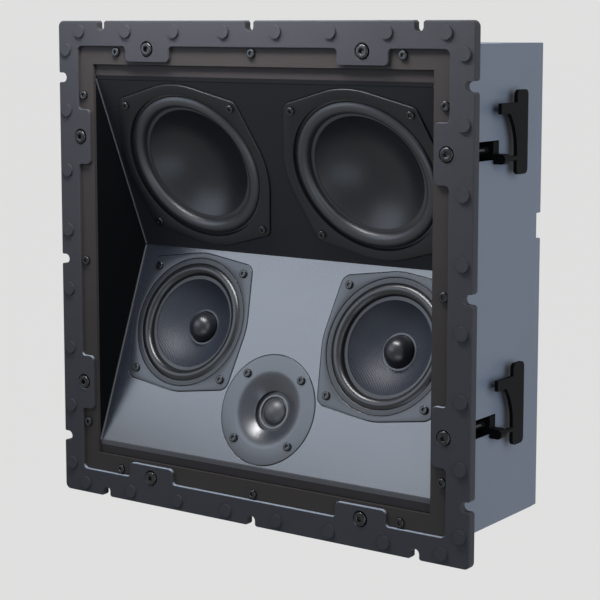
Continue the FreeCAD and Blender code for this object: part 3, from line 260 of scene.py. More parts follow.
def frameFinish(s):
    # moulded plastic with a fine grain, a browner tone on the ledge behind the ring's face, and a painted
    # highlight:
    # a pale line where the ring's inner step looks up, which is strongest low on the frame
    plastic, wire = newMaterial("frame_plastic")
    where = place3(wire)
    depth = axisOf(wire, where, "Y")
    outside = outwards(wire, where)
    ledgeHere = (depth > s["ledgeBehind"]) * (outside < s["ledgeWithin"])
    rise = axisOf(wire, wire.node("ShaderNodeTexCoord", out="Normal"), "Z")
    highlightUp = between(wire, rise, s["highlightLow"], s["highlightHigh"])
    highlightFade = between(wire, axisOf(wire, where, "Z"), s["fadeTop"], s["fadeFoot"], s["fadeLeast"])
    # painted highlight: the pale colour goes where the inner step faces up, in front of the ledge, fading
    # towards the top
    step = highlightUp * highlightFade * (outside < s["highlightWithin"]) * (depth < s["highlightFront"])
    drift = noise(wire, where, s["driftScale"], "slow")
    grain = noise(wire, where, s["grainScale"], "fine")
    tone = weighted((drift, grain), s["toneBy"])
    ring, ledge = (toned(wire, tone, s[part], s["low"], s["high"]) for part in ("ring", "ledge"))
    plain = blendColour(wire, ledgeHere, ring, ledge)
    output(wire, principled(wire, {
        "Base Color": blendColour(wire, step, plain, s["paintedHighlight"] + (1,)),
        "Roughness": weighted((drift, grain), s["roughBy"], s["rough"]),
        "Specular IOR Level": s["shine"],
        "Normal": bump(wire, grain, s),
    }))
    return plastic


material["frame_plastic"] = frameFinish(framePaint)


boardPaint = dict(
    # the strip colour here is painted shade, darker than the slope of this downward-facing board
    woofer_board=dict(slope=(0.014, 0.0145, 0.0165), paintedLightStrip=(0.006, 0.006, 0.007),
                      rim=(0.04, 0.0345, 0.0345), rough=0.5, shine=0.12, rimFrom=0.1553),
    # the strip colour here is painted sheen, paler than the slope to stand in for its reflected light
    midrange_board=dict(slope=(0.016, 0.0185, 0.025), paintedLightStrip=(0.085, 0.083, 0.088),
                        rim=(0.03, 0.0265, 0.027), rough=0.24, shine=1.0, rimFrom=0.157),
)
boardMix = dict(low=0.86, high=1.14, driftScale=9.0, grainScale=1900.0, toneBy=(0.7, 0.3),
                roughBy=(0.08, 0.05), roughDrop=0.06, relief=0.35, reliefDepth=0.0001,
                rimFront=-0.0007, rimDark=0.4, rimRough=0.5, rimRoughBy=(0.1,), rimShine=0.08)


def boardFinish(name, s, m):
    # sprayed board with a duller front rim in the frame's colour; the rim lies in front of a set depth, and
    # its inner strip, up to a set height, is painted light: painted shade on the woofers' board, darker than
    # its slope, and painted sheen on the midranges' board, paler than its slope
    paint, wire = newMaterial(name)
    where = place3(wire)
    height = unsigned(wire, axisOf(wire, where, "Z"))
    drift = noise(wire, where, m["driftScale"], "slow")
    grain = noise(wire, where, m["grainScale"], "fine")
    tone = weighted((drift, grain), m["toneBy"])
    relief = bump(wire, grain, m)
    sprayed = principled(wire, {
        "Base Color": toned(wire, tone, s["slope"], m["low"], m["high"]),
        "Roughness": weighted((drift, grain), m["roughBy"], s["rough"] - m["roughDrop"]),
        "Specular IOR Level": s["shine"],
        "Normal": relief,
    })
    # below the rim's height the strip takes painted light: painted shade on the woofers' board, painted sheen
    # on the midranges' board
    rimWithPaintedStrip = blendColour(wire, height > s["rimFrom"], s["paintedLightStrip"] + (1,), s["rim"] + (1,))
    dull = principled(wire, {
        "Base Color": blendColour(wire, tone * m["rimDark"], rimWithPaintedStrip, (0, 0, 0, 1)),
        "Roughness": weighted((grain,), m["rimRoughBy"], m["rimRough"]),
        "Specular IOR Level": m["rimShine"],
        "Normal": relief,
    })
    rimHere = axisOf(wire, where, "Y") < m["rimFront"]
    output(wire, wire.node("ShaderNodeMixShader", {}, {0: rimHere, 1: sprayed, 2: dull}))
    return paint


for name, settings in boardPaint.items():
    material[name] = boardFinish(name, settings, boardMix)


boxPaint = dict(outside=(0.119, 0.136, 0.175), outsideLow=0.86, outsideHigh=1.14,
                # the inside colour, near-black and without gloss, is painted shade for the recess and the
                # clamp channels
                inside=(0.004, 0.0042, 0.0048), insideLow=0.6, insideHigh=1.4, edgeAt=0.1825,
                backAt=0.1205, driftScale=7.0, grainScale=1800.0, rollScale=240.0, rough=0.37,
                roughBy=(0.08, 0.06), shine=0.4, relief=0.35, reliefDepth=0.00014, reliefBy=(0.5, 0.5))


def boxFinish(s):
    # grey satin on the sides and the back of the box, by the distance from its middle, and black inside it:
    # a lit and a shaded copy of one paint, the black inside and in the clamp channels being painted shade
    paint, wire = newMaterial("box_paint_lit_and_shaded")
    where = place3(wire)
    behind = axisOf(wire, where, "Y") > s["backAt"]
    outer = wire.maths("MAXIMUM", outwards(wire, where) > s["edgeAt"], behind)
    drift = noise(wire, where, s["driftScale"], "slow")
    grain = noise(wire, where, s["grainScale"], "fine")
    rolled = noise(wire, where, s["rollScale"], "rolled")
    relief = bump(wire, weighted((grain, rolled), s["reliefBy"]), s)
    litOutside = principled(wire, {
        "Base Color": toned(wire, drift, s["outside"], s["outsideLow"], s["outsideHigh"]),
        "Roughness": weighted((drift, grain), s["roughBy"], s["rough"]),
        "Specular IOR Level": s["shine"],
        "Normal": relief,
    })
    # painted shade: the inside of the box and the clamp channels are coloured black
    black = toned(wire, grain, s["inside"], s["insideLow"], s["insideHigh"])
    paintedShadeInside = wire.node("ShaderNodeBsdfDiffuse", {}, {"Color": black, "Normal": relief})
    output(wire, wire.node("ShaderNodeMixShader", {}, {0: outer, 1: paintedShadeInside, 2: litOutside}))
    return paint


material["painted_board"] = boxFinish(boxPaint)


weave = dict(pitch=2.1, colour=(0.0135, 0.016, 0.023), low=0.55, high=1.6, fuzzScale=700.0,
             driftScale=30.0, toneBy=(0.55, 0.25, 0.2), rough=0.38, roughBy=(0.12, 0.1), shine=0.3,
             relief=0.85, reliefDepth=0.0002, reliefBy=(0.8, 0.2))


def wovenFinish(s):
    # a plain weave on the cone's own flat coordinates: the product of two crossed sine waves
    cloth, wire = newMaterial("mid_cone")
    flat = wire.node("ShaderNodeUVMap", {"uv_map": "flat"})
    turn = 2 * math.pi / s["pitch"]
    warp, weft = (wire.maths("SINE", axisOf(wire, flat, axis) * turn, 0.0) for axis in "XY")
    thread = warp * weft * 0.5 + 0.5
    fuzz = noise(wire, place3(wire), s["fuzzScale"], "slow")
    drift = noise(wire, place3(wire), s["driftScale"], "slow")
    tone = weighted((thread, fuzz, drift), s["toneBy"])
    output(wire, principled(wire, {
        "Base Color": toned(wire, tone, s["colour"], s["low"], s["high"]),
        "Roughness": weighted((thread, fuzz), s["roughBy"], s["rough"]),
        "Specular IOR Level": s["shine"],
        "Normal": bump(wire, weighted((thread, fuzz), s["reliefBy"]), s),
    }))
    return cloth


material["mid_cone"] = wovenFinish(weave)


dome = dict(radius=10.4, height=5.2, throat=16.3, foldRise=1.1, foldGap=0.1, ringIn=12.4, ringOut=13.9,
            ringRise=0.35, ringLean=0.1, ringInRound=0.1, ringOutRound=0.2,
            cloth=(0.03, 0.03, 0.034), low=0.7, high=1.4, ringColour=(0.1, 0.103, 0.114),
            # the black colour on the next line is the painted shade of the fold and of the gap round the dome
            gap=(0.003, 0.003, 0.0035), fuzzScale=1600.0, rough=0.38, roughBy=(0.12,), shine=0.5,
            relief=0.25, reliefDepth=0.00006)


def domeFinish(s):
    # coated cloth, a black fold round it, then a pale glued ring and a black gap, by the radius;
    # the black of the fold and of the gap is painted shade
    cap, wire = newMaterial("dome_cloth")
    flat = wire.node("ShaderNodeUVMap", {"uv_map": "flat"})
    radius = wire.node("ShaderNodeVectorMath", {"operation": "LENGTH"}, {0: flat}, out="Value")
    ringHere = (radius > s["ringIn"]) * (radius < s["ringOut"])
    fuzz = noise(wire, place3(wire), s["fuzzScale"], "slow")
    cloth = toned(wire, fuzz, s["cloth"], s["low"], s["high"])
    # painted shade: past the dome's radius the fold and the gap are coloured black
    foldAndGapShaded = blendColour(wire, radius > s["radius"], cloth, s["gap"] + (1,))
    output(wire, principled(wire, {
        "Base Color": blendColour(wire, ringHere, foldAndGapShaded, s["ringColour"] + (1,)),
        "Roughness": weighted((fuzz,), s["roughBy"], s["rough"]),
        "Specular IOR Level": s["shine"],
        "Normal": bump(wire, fuzz, s),
    }))
    return cap


material["dome_cloth"] = domeFinish(dome)


spider = dict(colour=(0.32, 0.22, 0.11), low=0.7, high=1.2, threadScale=420.0, threadBend=1.5,
              fuzzScale=900.0, toneBy=(0.6, 0.4), rough=0.75, roughBy=(0.1,), relief=0.5, reliefDepth=0.0002)


def spiderFinish(s):
    # resin-dipped cloth: bent threads on the piece's own coordinates
    cloth, wire = newMaterial("spider_cloth")
    where = place3(wire)
    threads = wire.node("ShaderNodeTexWave", {}, {
        "Vector": where, "Scale": s["threadScale"], "Distortion": s["threadBend"]}, out="Fac")
    fuzz = noise(wire, where, s["fuzzScale"], "cloth")
    tone = weighted((threads, fuzz), s["toneBy"])
    output(wire, principled(wire, {
        "Base Color": toned(wire, tone, s["colour"], s["low"], s["high"]),
        "Roughness": weighted((fuzz,), s["roughBy"], s["rough"]),
        "Normal": bump(wire, tone, s),
    }))
    return cloth


material["spider_cloth"] = spiderFinish(spider)
print("materials made:", len(material))


# Surfaces

gridWeld = 2e-7


def softProfile(corners, steps):
    # each corner (radius, height, rounding) is rounded by the parabola that touches both of its sides
    spot = np.array([corner[:2] for corner in corners], float)
    reach = np.array([corner[2] if len(corner) > 2 else 0.0 for corner in corners])[:, None]
    back = np.roll(spot, 1, 0) - spot
    ahead = np.roll(spot, -1, 0) - spot
    start = spot + back / np.linalg.norm(back, axis=1, keepdims=True) * reach
    end = spot + ahead / np.linalg.norm(ahead, axis=1, keepdims=True) * reach
    t = np.linspace(0, 1, steps)[None, :, None]
    curve = (1 - t)**2 * start[:, None] + 2 * t * (1 - t) * spot[:, None] + t**2 * end[:, None]
    return curve.reshape(-1, 2)


def bow(start, end, rise, steps=28):
    # the arc from start to end whose middle stands off the straight line by rise, to the left of the way
    a, b = np.array(start, float), np.array(end, float)
    span = np.linalg.norm(b - a)
    radius = (span**2 / 4 + rise**2) / (2 * abs(rise))
    half = math.acos((radius - abs(rise)) / radius)
    t = np.linspace(-half, half, steps)[:, None]
    along = (b - a) / span
    left = np.array([-along[1], along[0]])
    off = np.sign(rise) * radius * (np.cos(t) - math.cos(half))
    return (a + b) / 2 + radius * np.sin(t) * along + off * left


def ballRadius(reach, depth):
    # of the ball whose cap has this half width and depth
    return (reach**2 + depth**2) / (2 * depth)


def roundGrid(profile, segments):
    # a profile of radius and height carried round the local third axis
    turn = np.linspace(0, 2 * math.pi, segments, endpoint=False)[:, None]
    radius, height = profile[None, :, 0], profile[None, :, 1]
    return np.stack([radius * np.cos(turn), radius * np.sin(turn), height + 0 * turn], -1)


def addPiece(name, mesh):
    mesh.polygons.foreach_set("use_smooth", np.ones(len(mesh.polygons), bool))
    mesh.set_sharp_from_angle(angle=hardEdge)
    piece = bpy.data.objects.new(name, mesh)
    bpy.context.scene.collection.objects.link(piece)
    return piece


def makePiece(name, grid, places, joined):
    # the grid is [round, along, xyz] in mm; every place repeats it, and joined closes the profile on itself
    count, rows = grid.shape[:2]
    local = grid.reshape(-1, 3)
    stack = np.array(places)
    world = np.einsum("kij,pj->kpi", stack[:, :3, :3], local) + stack[:, None, :3, 3]
    i = np.arange(count)[:, None]
    j = np.arange(rows if joined else rows - 1)[None, :]
    nextI, nextJ = (i + 1) % count, (j + 1) % rows
    quads = np.stack([i * rows + j, nextI * rows + j, nextI * rows + nextJ, i * rows + nextJ], -1)
    shift = np.arange(len(stack)) * len(local)
    quads = (quads.reshape(1, -1, 4) + shift[:, None, None]).reshape(-1, 4)
    mesh = bpy.data.meshes.new(name)
    mesh.from_pydata((world.reshape(-1, 3) * mm).tolist(), [], quads.tolist())
    corner = np.zeros(len(mesh.loops), np.int32)
    mesh.loops.foreach_get("vertex_index", corner)
    flat = np.tile(local[:, :2], (len(stack), 1))[corner]
    mesh.uv_layers.new(name="flat").data.foreach_set("uv", flat.astype(np.float32).ravel())
    shell = bmesh.new()
    shell.from_mesh(mesh)
    bmesh.ops.remove_doubles(shell, verts=shell.verts, dist=gridWeld)
    bmesh.ops.recalc_face_normals(shell, faces=shell.faces)
    shell.to_mesh(mesh)
    shell.free()
    return addPiece(name, mesh)


def dress(piece, finish, node, hide=True):
    piece.data.materials.clear()
    piece.data.materials.append(material[finish])
    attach(piece, nodes[node]["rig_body"])
    if hide:
        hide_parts(node)


# Where the drivers sit, in mm

boards = dict(rimY=-1.0, upperRimZ=152.0, lowerRimZ=-153.5, valleyY=61.0, valleyZ=8.0)


def boardPlace(board, across, along):
    # a frame on a sloping board: first axis to the right, third axis straight out of the board
    facing = -1 if board == "upper" else 1
    rim = np.array([0, boards["rimY"], boards[board + "RimZ"]])
    slope = np.array([0, boards["valleyY"], boards["valleyZ"]]) - rim
    slope /= np.linalg.norm(slope)
    right = np.array([1.0, 0, 0])
    outward = np.array([0, -abs(slope[2]), facing * slope[1]])
    place = np.eye(4)
    place[:3, :3] = np.stack([right, np.cross(outward, right), outward], 1)
    place[:3, 3] = rim + slope * along + right * across
    return place


def driverPlace(s, side):
    return boardPlace(s["board"], sides[side] * s["across"], s["along"])


def lifted(place, x=0.0, y=0.0, z=0.0):
    moved = place.copy()
    moved[:3, 3] += place[:3, :3] @ np.array([x, y, z])
    return moved


# Drivers

woofer = dict(kind="woofer", board="upper", across=84.0, along=77.0, frameR=74.0, earR=6.5, boltR=77.0,
              flange=5.0, proud=1.5, edge=0.9, landing=65.2, gasket=2.0, coneR=52.0, bowl=20.0, wall=1.2,
              rollRise=4.4, depth=41.0, seat=44.0, coil=16.0, flangeFinish="basket_paint",
              coneFinish="woofer_cone", rollFinish="surround_rubber")
mid = dict(kind="mid", board="lower", across=98.0, along=110.0, frameR=59.5, earR=8.5, boltR=63.6,
           flange=4.0, proud=0.5, edge=0.5, landing=55.0, gasket=4.5, coneR=41.0, bowl=15.4, wall=0.7,
           rollRise=3.7, depth=33.0, seat=36.0, coil=16.4, mouth=13.7, mouthGap=0.7, mouthLift=0.25, sag=2.2,
           flangeFinish="mid_flange", coneFinish="mid_cone", rollFinish="mid_rubber")
driverWall = dict(rubber=1.0, basket=2.4, coil=1.0, plate=6.0, coilPast=1.0, rollSeat=0.3, rimDrop=3.0,
                  glue=3.0, lap=0.8, inset=0.2, rollThin=0.75, footDrop=0.35, lipRound=0.3,
                  bowlRound=1.0, bowlLean=0.02, ledgeRound=0.4)
boreEase = ((0.5, 0.0), (0.1, 0.2), (0.0, 0.6))


def earPlate(s, around=720):
    # eared flange, by the angle from the nearest ear: round plate, then straight tangent, then the ear's end;
    # rows move in from that outline over the rounded edge, and the last ones run in to the eased bore
    turn = np.linspace(0, 2 * math.pi, around, endpoint=False)
    ear = math.pi / 4 + math.pi / 2 * np.round((turn - math.pi / 4) / (math.pi / 2))
    side, off = np.sign(turn - ear), np.abs(turn - ear)
    lean = math.acos((s["frameR"] - s["earR"]) / s["boltR"])
    tip = math.atan2(s["earR"] * math.sin(lean), s["boltR"] + s["earR"] * math.cos(lean))
    end = s["boltR"] * np.cos(off) + np.sqrt(np.maximum(s["earR"]**2 - (s["boltR"] * np.sin(off))**2, 0))
    radius = np.select([off > lean, off > tip], [s["frameR"], s["frameR"] / np.cos(off - lean)], end)
    bent = np.arctan2(radius * np.sin(off), radius * np.cos(off) - s["boltR"])
    facing = ear + side * np.select([off > lean, off > tip], [off, lean], bent)
    spoke = np.stack([np.cos(turn), np.sin(turn)], -1)
    normal = np.stack([np.cos(facing), np.sin(facing)], -1)
    top, low = s["proud"], s["proud"] - s["flange"]
    quarter = np.linspace(0, math.pi / 2, 6)
    inset = np.concatenate([[0], s["edge"] * (1 - np.cos(quarter))])
    level = np.concatenate([[low], top - s["edge"] * (1 - np.sin(quarter))])
    outer = (radius[:, None] * spoke)[:, None] - inset[None, :, None] * normal[:, None]
    outer = np.concatenate([outer, np.broadcast_to(level[None, :, None], outer.shape[:2] + (1,))], -1)
    bore = np.array([[s["landing"] + out, top - down] for out, down in boreEase] + [[s["landing"], low]])
    inner = np.concatenate([spoke[:, None] * bore[None, :, :1],
                            np.broadcast_to(bore[None, :, 1:], (around, len(bore), 1))], -1)
    return np.concatenate([outer, inner], 1)


def buildBasket(s, w, label, place, ledge):
    # the eared flange in front and the bowl behind it
    flange = makePiece(label + "_flange", earPlate(s), [place], True)
    dress(flange, s["flangeFinish"], label + "_basket")
    wall, hole, seat, back = w["basket"], s["coil"] + 2 * w["basket"], s["seat"], -s["depth"]
    outside, inside = s["landing"] + wall / 2, s["landing"] - 2 * wall
    profile = softProfile([
        (hole, back), (seat, back, w["bowlRound"]), (outside, ledge - wall), (outside - w["bowlLean"], ledge),
        (inside, ledge, w["ledgeRound"]), (inside, ledge - wall), (seat - wall, back + 3 * wall),
        (seat - 3 * wall, back + 3 * wall), (seat - 3 * wall, back + wall), (hole, back + wall)], 3)
    bowl = makePiece(label + "_bowl", roundGrid(profile, 128), [place], True)
    dress(bowl, "basket_paint", label + "_basket")


def buildRoll(s, w, label, place, ledge, rim):
    # surround: a half roll between its two glued feet
    rubber, rollEnd, foot = w["rubber"], s["landing"] - s["gasket"], s["coneR"] - w["glue"]
    innerRise = s["rollRise"] - w["rollThin"] * rubber
    over = bow((rollEnd, ledge + rubber), (s["coneR"] - w["inset"], rim + rubber), -s["rollRise"])
    feet = np.array([[foot, rim + rubber - w["footDrop"]], [foot, rim]])
    under = bow((s["coneR"] + w["lap"], rim), (rollEnd - rubber, ledge), innerRise)
    lipR = s["landing"] - w["inset"]
    lip = softProfile([(lipR, ledge), (lipR, ledge + rubber, w["lipRound"])], 4)
    profile = np.concatenate([over, feet, under, lip])
    roll = makePiece(label + "_roll", roundGrid(profile, 256), [place], True)
    roll.data.materials.append(material[s["rollFinish"]])
    top = lifted(place, z=ledge)[:3, 3] * mm
    bottom = lifted(place, z=rim + rubber)[:3, 3] * mm
    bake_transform(roll)
    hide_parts(label + "_surround")


def buildCone(s, w, label, place, rim):
    # front and back faces one wall apart, and the coil former behind; only the midrange's cone has a mouth
    closed = "mouth" not in s
    thin, edge, lap, deep = s["wall"], s["coneR"] - w["glue"], s["coneR"] + w["lap"], rim - s["bowl"]
    coil, skin = s["coil"], w["coil"] / 2
    if closed:
        ball = ballRadius(edge, s["bowl"])
        reach = np.linspace(0, edge, 48)
        face = np.stack([reach, deep + ball - np.sqrt(ball**2 - reach**2)], 1)
        high, mouth = deep - thin / 2, coil - skin
    else:
        face = bow((s["mouth"] + s["mouthGap"], deep), (edge, rim), -s["sag"], 40)
        high, mouth = deep + s["mouthLift"], s["mouth"]
    shell = np.concatenate([face, [[lap, rim], [lap, rim - thin]], face[::-1] - [0, thin]])
    cone = makePiece(label + "_dish", roundGrid(shell, 256), [place], not closed)
    dress(cone, s["coneFinish"], label + "_cone")
    end = -s["depth"] - w["plate"] - w["coilPast"]
    profile = softProfile([(coil - skin, end), (coil + skin, end), (coil + skin, high), (mouth, high),
                           (mouth, high - skin), (coil - skin, high - 2 * skin)], 2)
    former = makePiece(label + "_former", roundGrid(profile, 96), [place], True)
    dress(former, "former_metal", label + "_cone")


def buildDriver(s, w, side):
    label = s["kind"] + "_" + side
    place = driverPlace(s, side)
    ledge = s["proud"] - s["flange"] + w["rollSeat"] + w["rubber"]
    rim = ledge - w["rimDrop"]
    buildBasket(s, w, label, place, ledge)
    buildRoll(s, w, label, place, ledge, rim)
    buildCone(s, w, label, place, rim)


for side in sides:
    buildDriver(woofer, driverWall, side)
    buildDriver(mid, driverWall, side)
print("woofers and midranges built")


bead = dict(radius=0.9, inset=0.5, cheek=164.0, rows=12, around=24)
boardOf = dict(upper="woofer_board", lower="midrange_board")


def buildBead(board, s):
    # a thin rod of filler down each side of a board: a circle carried from the rim to the valley
    rim = np.array([boards["rimY"], boards[board + "RimZ"]])
    valley = np.array([boards["valleyY"], boards["valleyZ"]])
    place = boardPlace(board, 0, 0)
    way = np.linspace(0.0, np.linalg.norm(valley - rim) - s["radius"], s["rows"])[None, :]
    turn = np.linspace(0, 2 * math.pi, s["around"], endpoint=False)[:, None]
    down = -1 if board == "upper" else 1
    for side, sign in sides.items():
        across = sign * (s["cheek"] - s["inset"]) + s["radius"] * np.cos(turn) + 0 * way
        out = s["inset"] + s["radius"] * np.sin(turn) + 0 * way
        grid = np.stack([across, down * way + 0 * turn, out], -1)
        caps = np.broadcast_to(grid.mean(0)[None], grid.shape)
        closed = np.concatenate([caps[:, :1], grid, caps[:, -1:]], 1)
        piece = makePiece(f"bead_{board}_{side}", closed, [place], False)
        dress(piece, "filler", boardOf[board], hide=False)


for board in boardOf:
    buildBead(board, bead)


trimRing = dict(inner=50.2, outer=54.7, low=-1.2, top=0.15, dip=0.2, outerRound=0.35, innerRound=0.8)


def buildTrimRing(s, side):
    # flat gasket on the midrange's surround, almost level with the flange
    profile = softProfile([
        (s["inner"], s["low"]), (s["outer"], s["low"]), (s["outer"], s["top"], s["outerRound"]),
        (s["inner"], s["top"] - s["dip"], s["innerRound"])], 6)
    piece = makePiece("mid_" + side + "_gasket", roundGrid(profile, 256), [driverPlace(mid, side)], True)
    dress(piece, "gasket_rubber", "mid_" + side + "_basket", hide=False)


plug = dict(radius=13.2, top=-8.6, straight=4.0, step=6.0, neck=12.0, foot=-33.0)


def buildPlug(s, side):
    # bullet: a half ball on a short straight side, on a narrower stem
    shoulder = s["top"] - s["radius"]
    quarter = np.linspace(math.pi / 2, 0, 40)
    ball = np.stack([s["radius"] * np.cos(quarter), shoulder + s["radius"] * np.sin(quarter)], 1)
    stem = np.array([[s["radius"], shoulder - s["straight"]], [s["neck"], shoulder - s["step"]],
                     [s["neck"], s["foot"]], [0, s["foot"]]])
    bullet = roundGrid(np.concatenate([ball, stem]), 160)
    piece = makePiece("mid_" + side + "_bullet", bullet, [driverPlace(mid, side)], False)
    dress(piece, "plug_gloss", "mid_" + side + "_phase_plug")


for side in sides:
    buildTrimRing(trimRing, side)
    buildPlug(plug, side)


tweeter = dict(along=47.0, radius=45.0, flange=4.0, proud=0.5, edge=0.6, flare=32.5, flatFrom=1.5,
               throat=16.5, lip=0.4, flareDepth=6.5, ease=0.35, boltR=37.8, domeSeat=1.0)
tweeterPlace = boardPlace("lower", 0.0, tweeter["along"])


def buildTweeter(s, d):
    # faceplate with a hollow flare, and the pressed dome with its roll in the throat
    deep, low = s["flareDepth"], s["proud"] - s["flange"]
    back = s["proud"] - deep - s["flange"]
    rim = softProfile([(s["throat"], back), (s["flare"], back), (s["flare"], low), (s["radius"], low),
                       (s["radius"], s["proud"], s["edge"]), (s["flare"] + s["flatFrom"], s["proud"])], 5)
    # the flare leaves the flat along an arc; a share of cosine wave eases it towards the throat
    t = np.linspace(0, 1, 48)
    span = s["flare"] - s["throat"] - s["lip"]
    ball = ballRadius(span, deep)
    arc = ball - np.sqrt(ball**2 - (span * t)**2)
    drop = (1 - s["ease"]) * arc + s["ease"] * deep * (0.5 - 0.5 * np.cos(math.pi * t))
    flare = np.stack([s["flare"] - span * t, s["proud"] - drop], 1)
    lip = np.array([[s["throat"], s["proud"] - deep - s["lip"]]])
    plate = roundGrid(np.concatenate([rim, flare, lip]), 256)
    dress(makePiece("tweeter_plate", plate, [tweeterPlace], True), "faceplate_plastic", "tweeter_faceplate")

    foot = back + s["domeSeat"]
    high = foot + d["ringRise"]
    ball = ballRadius(d["radius"], d["height"])
    reach = np.linspace(0, d["radius"], 40)
    cap = np.stack([reach, foot + d["height"] - ball + np.sqrt(ball**2 - reach**2)], 1)
    roll = bow((d["radius"] + d["foldGap"], foot), (d["ringIn"], foot), -d["foldRise"], 16)
    ring = softProfile([
        (d["ringIn"], foot), (d["ringIn"] + d["ringLean"], high, d["ringInRound"]),
        (d["ringOut"], high, d["ringOutRound"]), (d["ringOut"], foot), (d["throat"], foot),
        (d["throat"], back)], 4)
    pressed = roundGrid(np.concatenate([cap, roll, ring, [[0, back]]]), 192)
    dress(makePiece("tweeter_cap", pressed, [tweeterPlace], False), "dome_cloth", "tweeter_dome")


buildTweeter(tweeter, dome)
print("tweeter built")


# Screws

driverScrew = dict(shank=1.7, head=3.5, height=2.0, length=13.0, recess=1.45, sink=1.3, round=0.9)
frameScrew = dict(shank=2.0, head=3.75, height=2.2, length=24.0, recess=1.5, sink=1.4, round=1.0,
                  line=174.5, offsets=(-138.5, 0, 138.5), seat=-4.0)
clampScrew = dict(shank=3.0, head=5.5, height=3.4, length=63.4, recess=2.4, sink=2.2, round=1.5,
                  line=177.0, offsets=(-104, 104), seat=-4.6)
socketShape = dict(flat=1.35, lead=1.12, floor=0.97, leadDrop=0.05, edgeDrop=0.25, pit=0.3)


def screwGrid(s, k, around=48):
    # pan head with a six-sided socket: round rows outside, then rows whose radius follows a hexagon
    turn = np.linspace(0, 2 * math.pi, around, endpoint=False)[:, None]
    hexagon = math.cos(math.pi / 6) / np.cos((turn % (math.pi / 3)) - math.pi / 6)
    recess, top = s["recess"], s["height"]
    outside = softProfile([(0, -s["length"]), (s["shank"], -s["length"]), (s["shank"], 0), (s["head"], 0),
                           (s["head"], top, s["round"]), (recess * k["flat"], top)], 5)
    inside = np.array([(recess * k["lead"], top - k["leadDrop"]), (recess, top - k["edgeDrop"]),
                       (recess * k["floor"], top - s["sink"]), (0, top - s["sink"] - k["pit"])])
    radius = np.concatenate([outside[None, :, 0] + 0 * turn, inside[None, :, 0] * hexagon], 1)
    level = np.concatenate([outside[:, 1], inside[:, 1]])[None] + 0 * turn
    return np.stack([radius * np.cos(turn), radius * np.sin(turn), level], -1)


def boltPlaces(place, s):
    # the four bolts of a driver, on its diagonals
    turn = np.radians([45, 135, 225, 315])
    return [lifted(place, s["boltR"] * math.cos(a), s["boltR"] * math.sin(a), s["proud"]) for a in turn]


def sidePlaces(s):
    # the right side's places turned a quarter at a time about the front-to-back axis, heads to the front
    places = []
    for quarter in range(4):
        c, d = round(math.cos(math.pi / 2 * quarter)), round(math.sin(math.pi / 2 * quarter))
        spin = np.array([[c, 0, d], [0, 1, 0], [-d, 0, c]], float)
        for offset in s["offsets"]:
            place = np.eye(4)
            place[:3, :3] = spin @ np.array([[1, 0, 0], [0, 0, -1], [0, 1, 0]], float)
            place[:3, 3] = spin @ np.array([s["line"], s["seat"], offset])
            places.append(place)
    return places


def buildScrews(node, s, places):
    piece = makePiece(node.replace("screws", "bolts"), screwGrid(s, socketShape), places, False)
    dress(piece, "black_screw", node)


for driver in (woofer, mid):
    spots = [bolt for side in sides for bolt in boltPlaces(driverPlace(driver, side), driver)]
    buildScrews(driver["kind"] + "_screws", driverScrew, spots)
buildScrews("tweeter_screws", driverScrew, boltPlaces(tweeterPlace, tweeter))
buildScrews("frame_screws", frameScrew, sidePlaces(frameScrew))
buildScrews("clamp_screws", clampScrew, sidePlaces(clampScrew))
print("screws built")


# Flat pieces: the solids with softened edges

softEdges = dict(mounting_frame=0.5, cabinet_shell=0.7, back_panel=0.6, woofer_board=0.4, midrange_board=0.4)
softening = dict(clampEdge=0.5, weld=1e-6, flatWithin=math.radians(0.5), segments=2, weight=100)


def softCopy(node, width, finish, s):
    # the node's own faces joined up, with every hard edge bevelled by the width
    shell = bmesh.new()
    shell.from_mesh(nodes[node].data)
    bmesh.ops.remove_doubles(shell, verts=shell.verts, dist=s["weld"])
    bmesh.ops.dissolve_limit(shell, angle_limit=s["flatWithin"], verts=shell.verts, edges=shell.edges)
    mesh = bpy.data.meshes.new(node + "_soft")
    shell.to_mesh(mesh)
    shell.free()
    piece = addPiece(node + "_soft", mesh)
    bevel = piece.modifiers.new("soft edge", "BEVEL")
    bevel.width = width * mm
    bevel.segments = s["segments"]
    bevel.limit_method = "ANGLE"
    bevel.angle_limit = hardEdge
    weigh = piece.modifiers.new("flat faces stay flat", "WEIGHTED_NORMAL")
    weigh.mode = "FACE_AREA"
    weigh.weight = s["weight"]
    weigh.keep_sharp = True
    dress(piece, finish, node)


for node, width in softEdges.items():
    softCopy(node, width, node if node in boardPaint else slotOf[node], softening)
for node in nodes:
    if node.startswith(("dog_", "carriage_")):
        softCopy(node, softening["clampEdge"], "clamp_plastic", softening)
print("flat pieces softened")


# What is left keeps its own solid and gets its finish

for node, piece in nodes.items():
    if not piece.hide_render:
        piece.data.materials.clear()
        piece.data.materials.append(material[slotOf[node]])


# Floor, light and camera

stage = dict(floorLevel=-0.55, size=60.0, floorColour=(0.02, 0.02, 0.02, 1), floorRough=0.9,
             paleLight=0.99, background=(0.745, 0.745, 0.742, 1), ambient=(0.07, 0.072, 0.08, 1))


def seenDirectly(wire):
    # 1 for what the camera sees itself, in a mirror or through glass
    rays = [wire.node("ShaderNodeLightPath", out=name)
            for name in ("Is Camera Ray", "Is Glossy Ray", "Is Transmission Ray")]
    return wire.maths("MINIMUM", rays[0] + rays[1] + rays[2], 1.0)


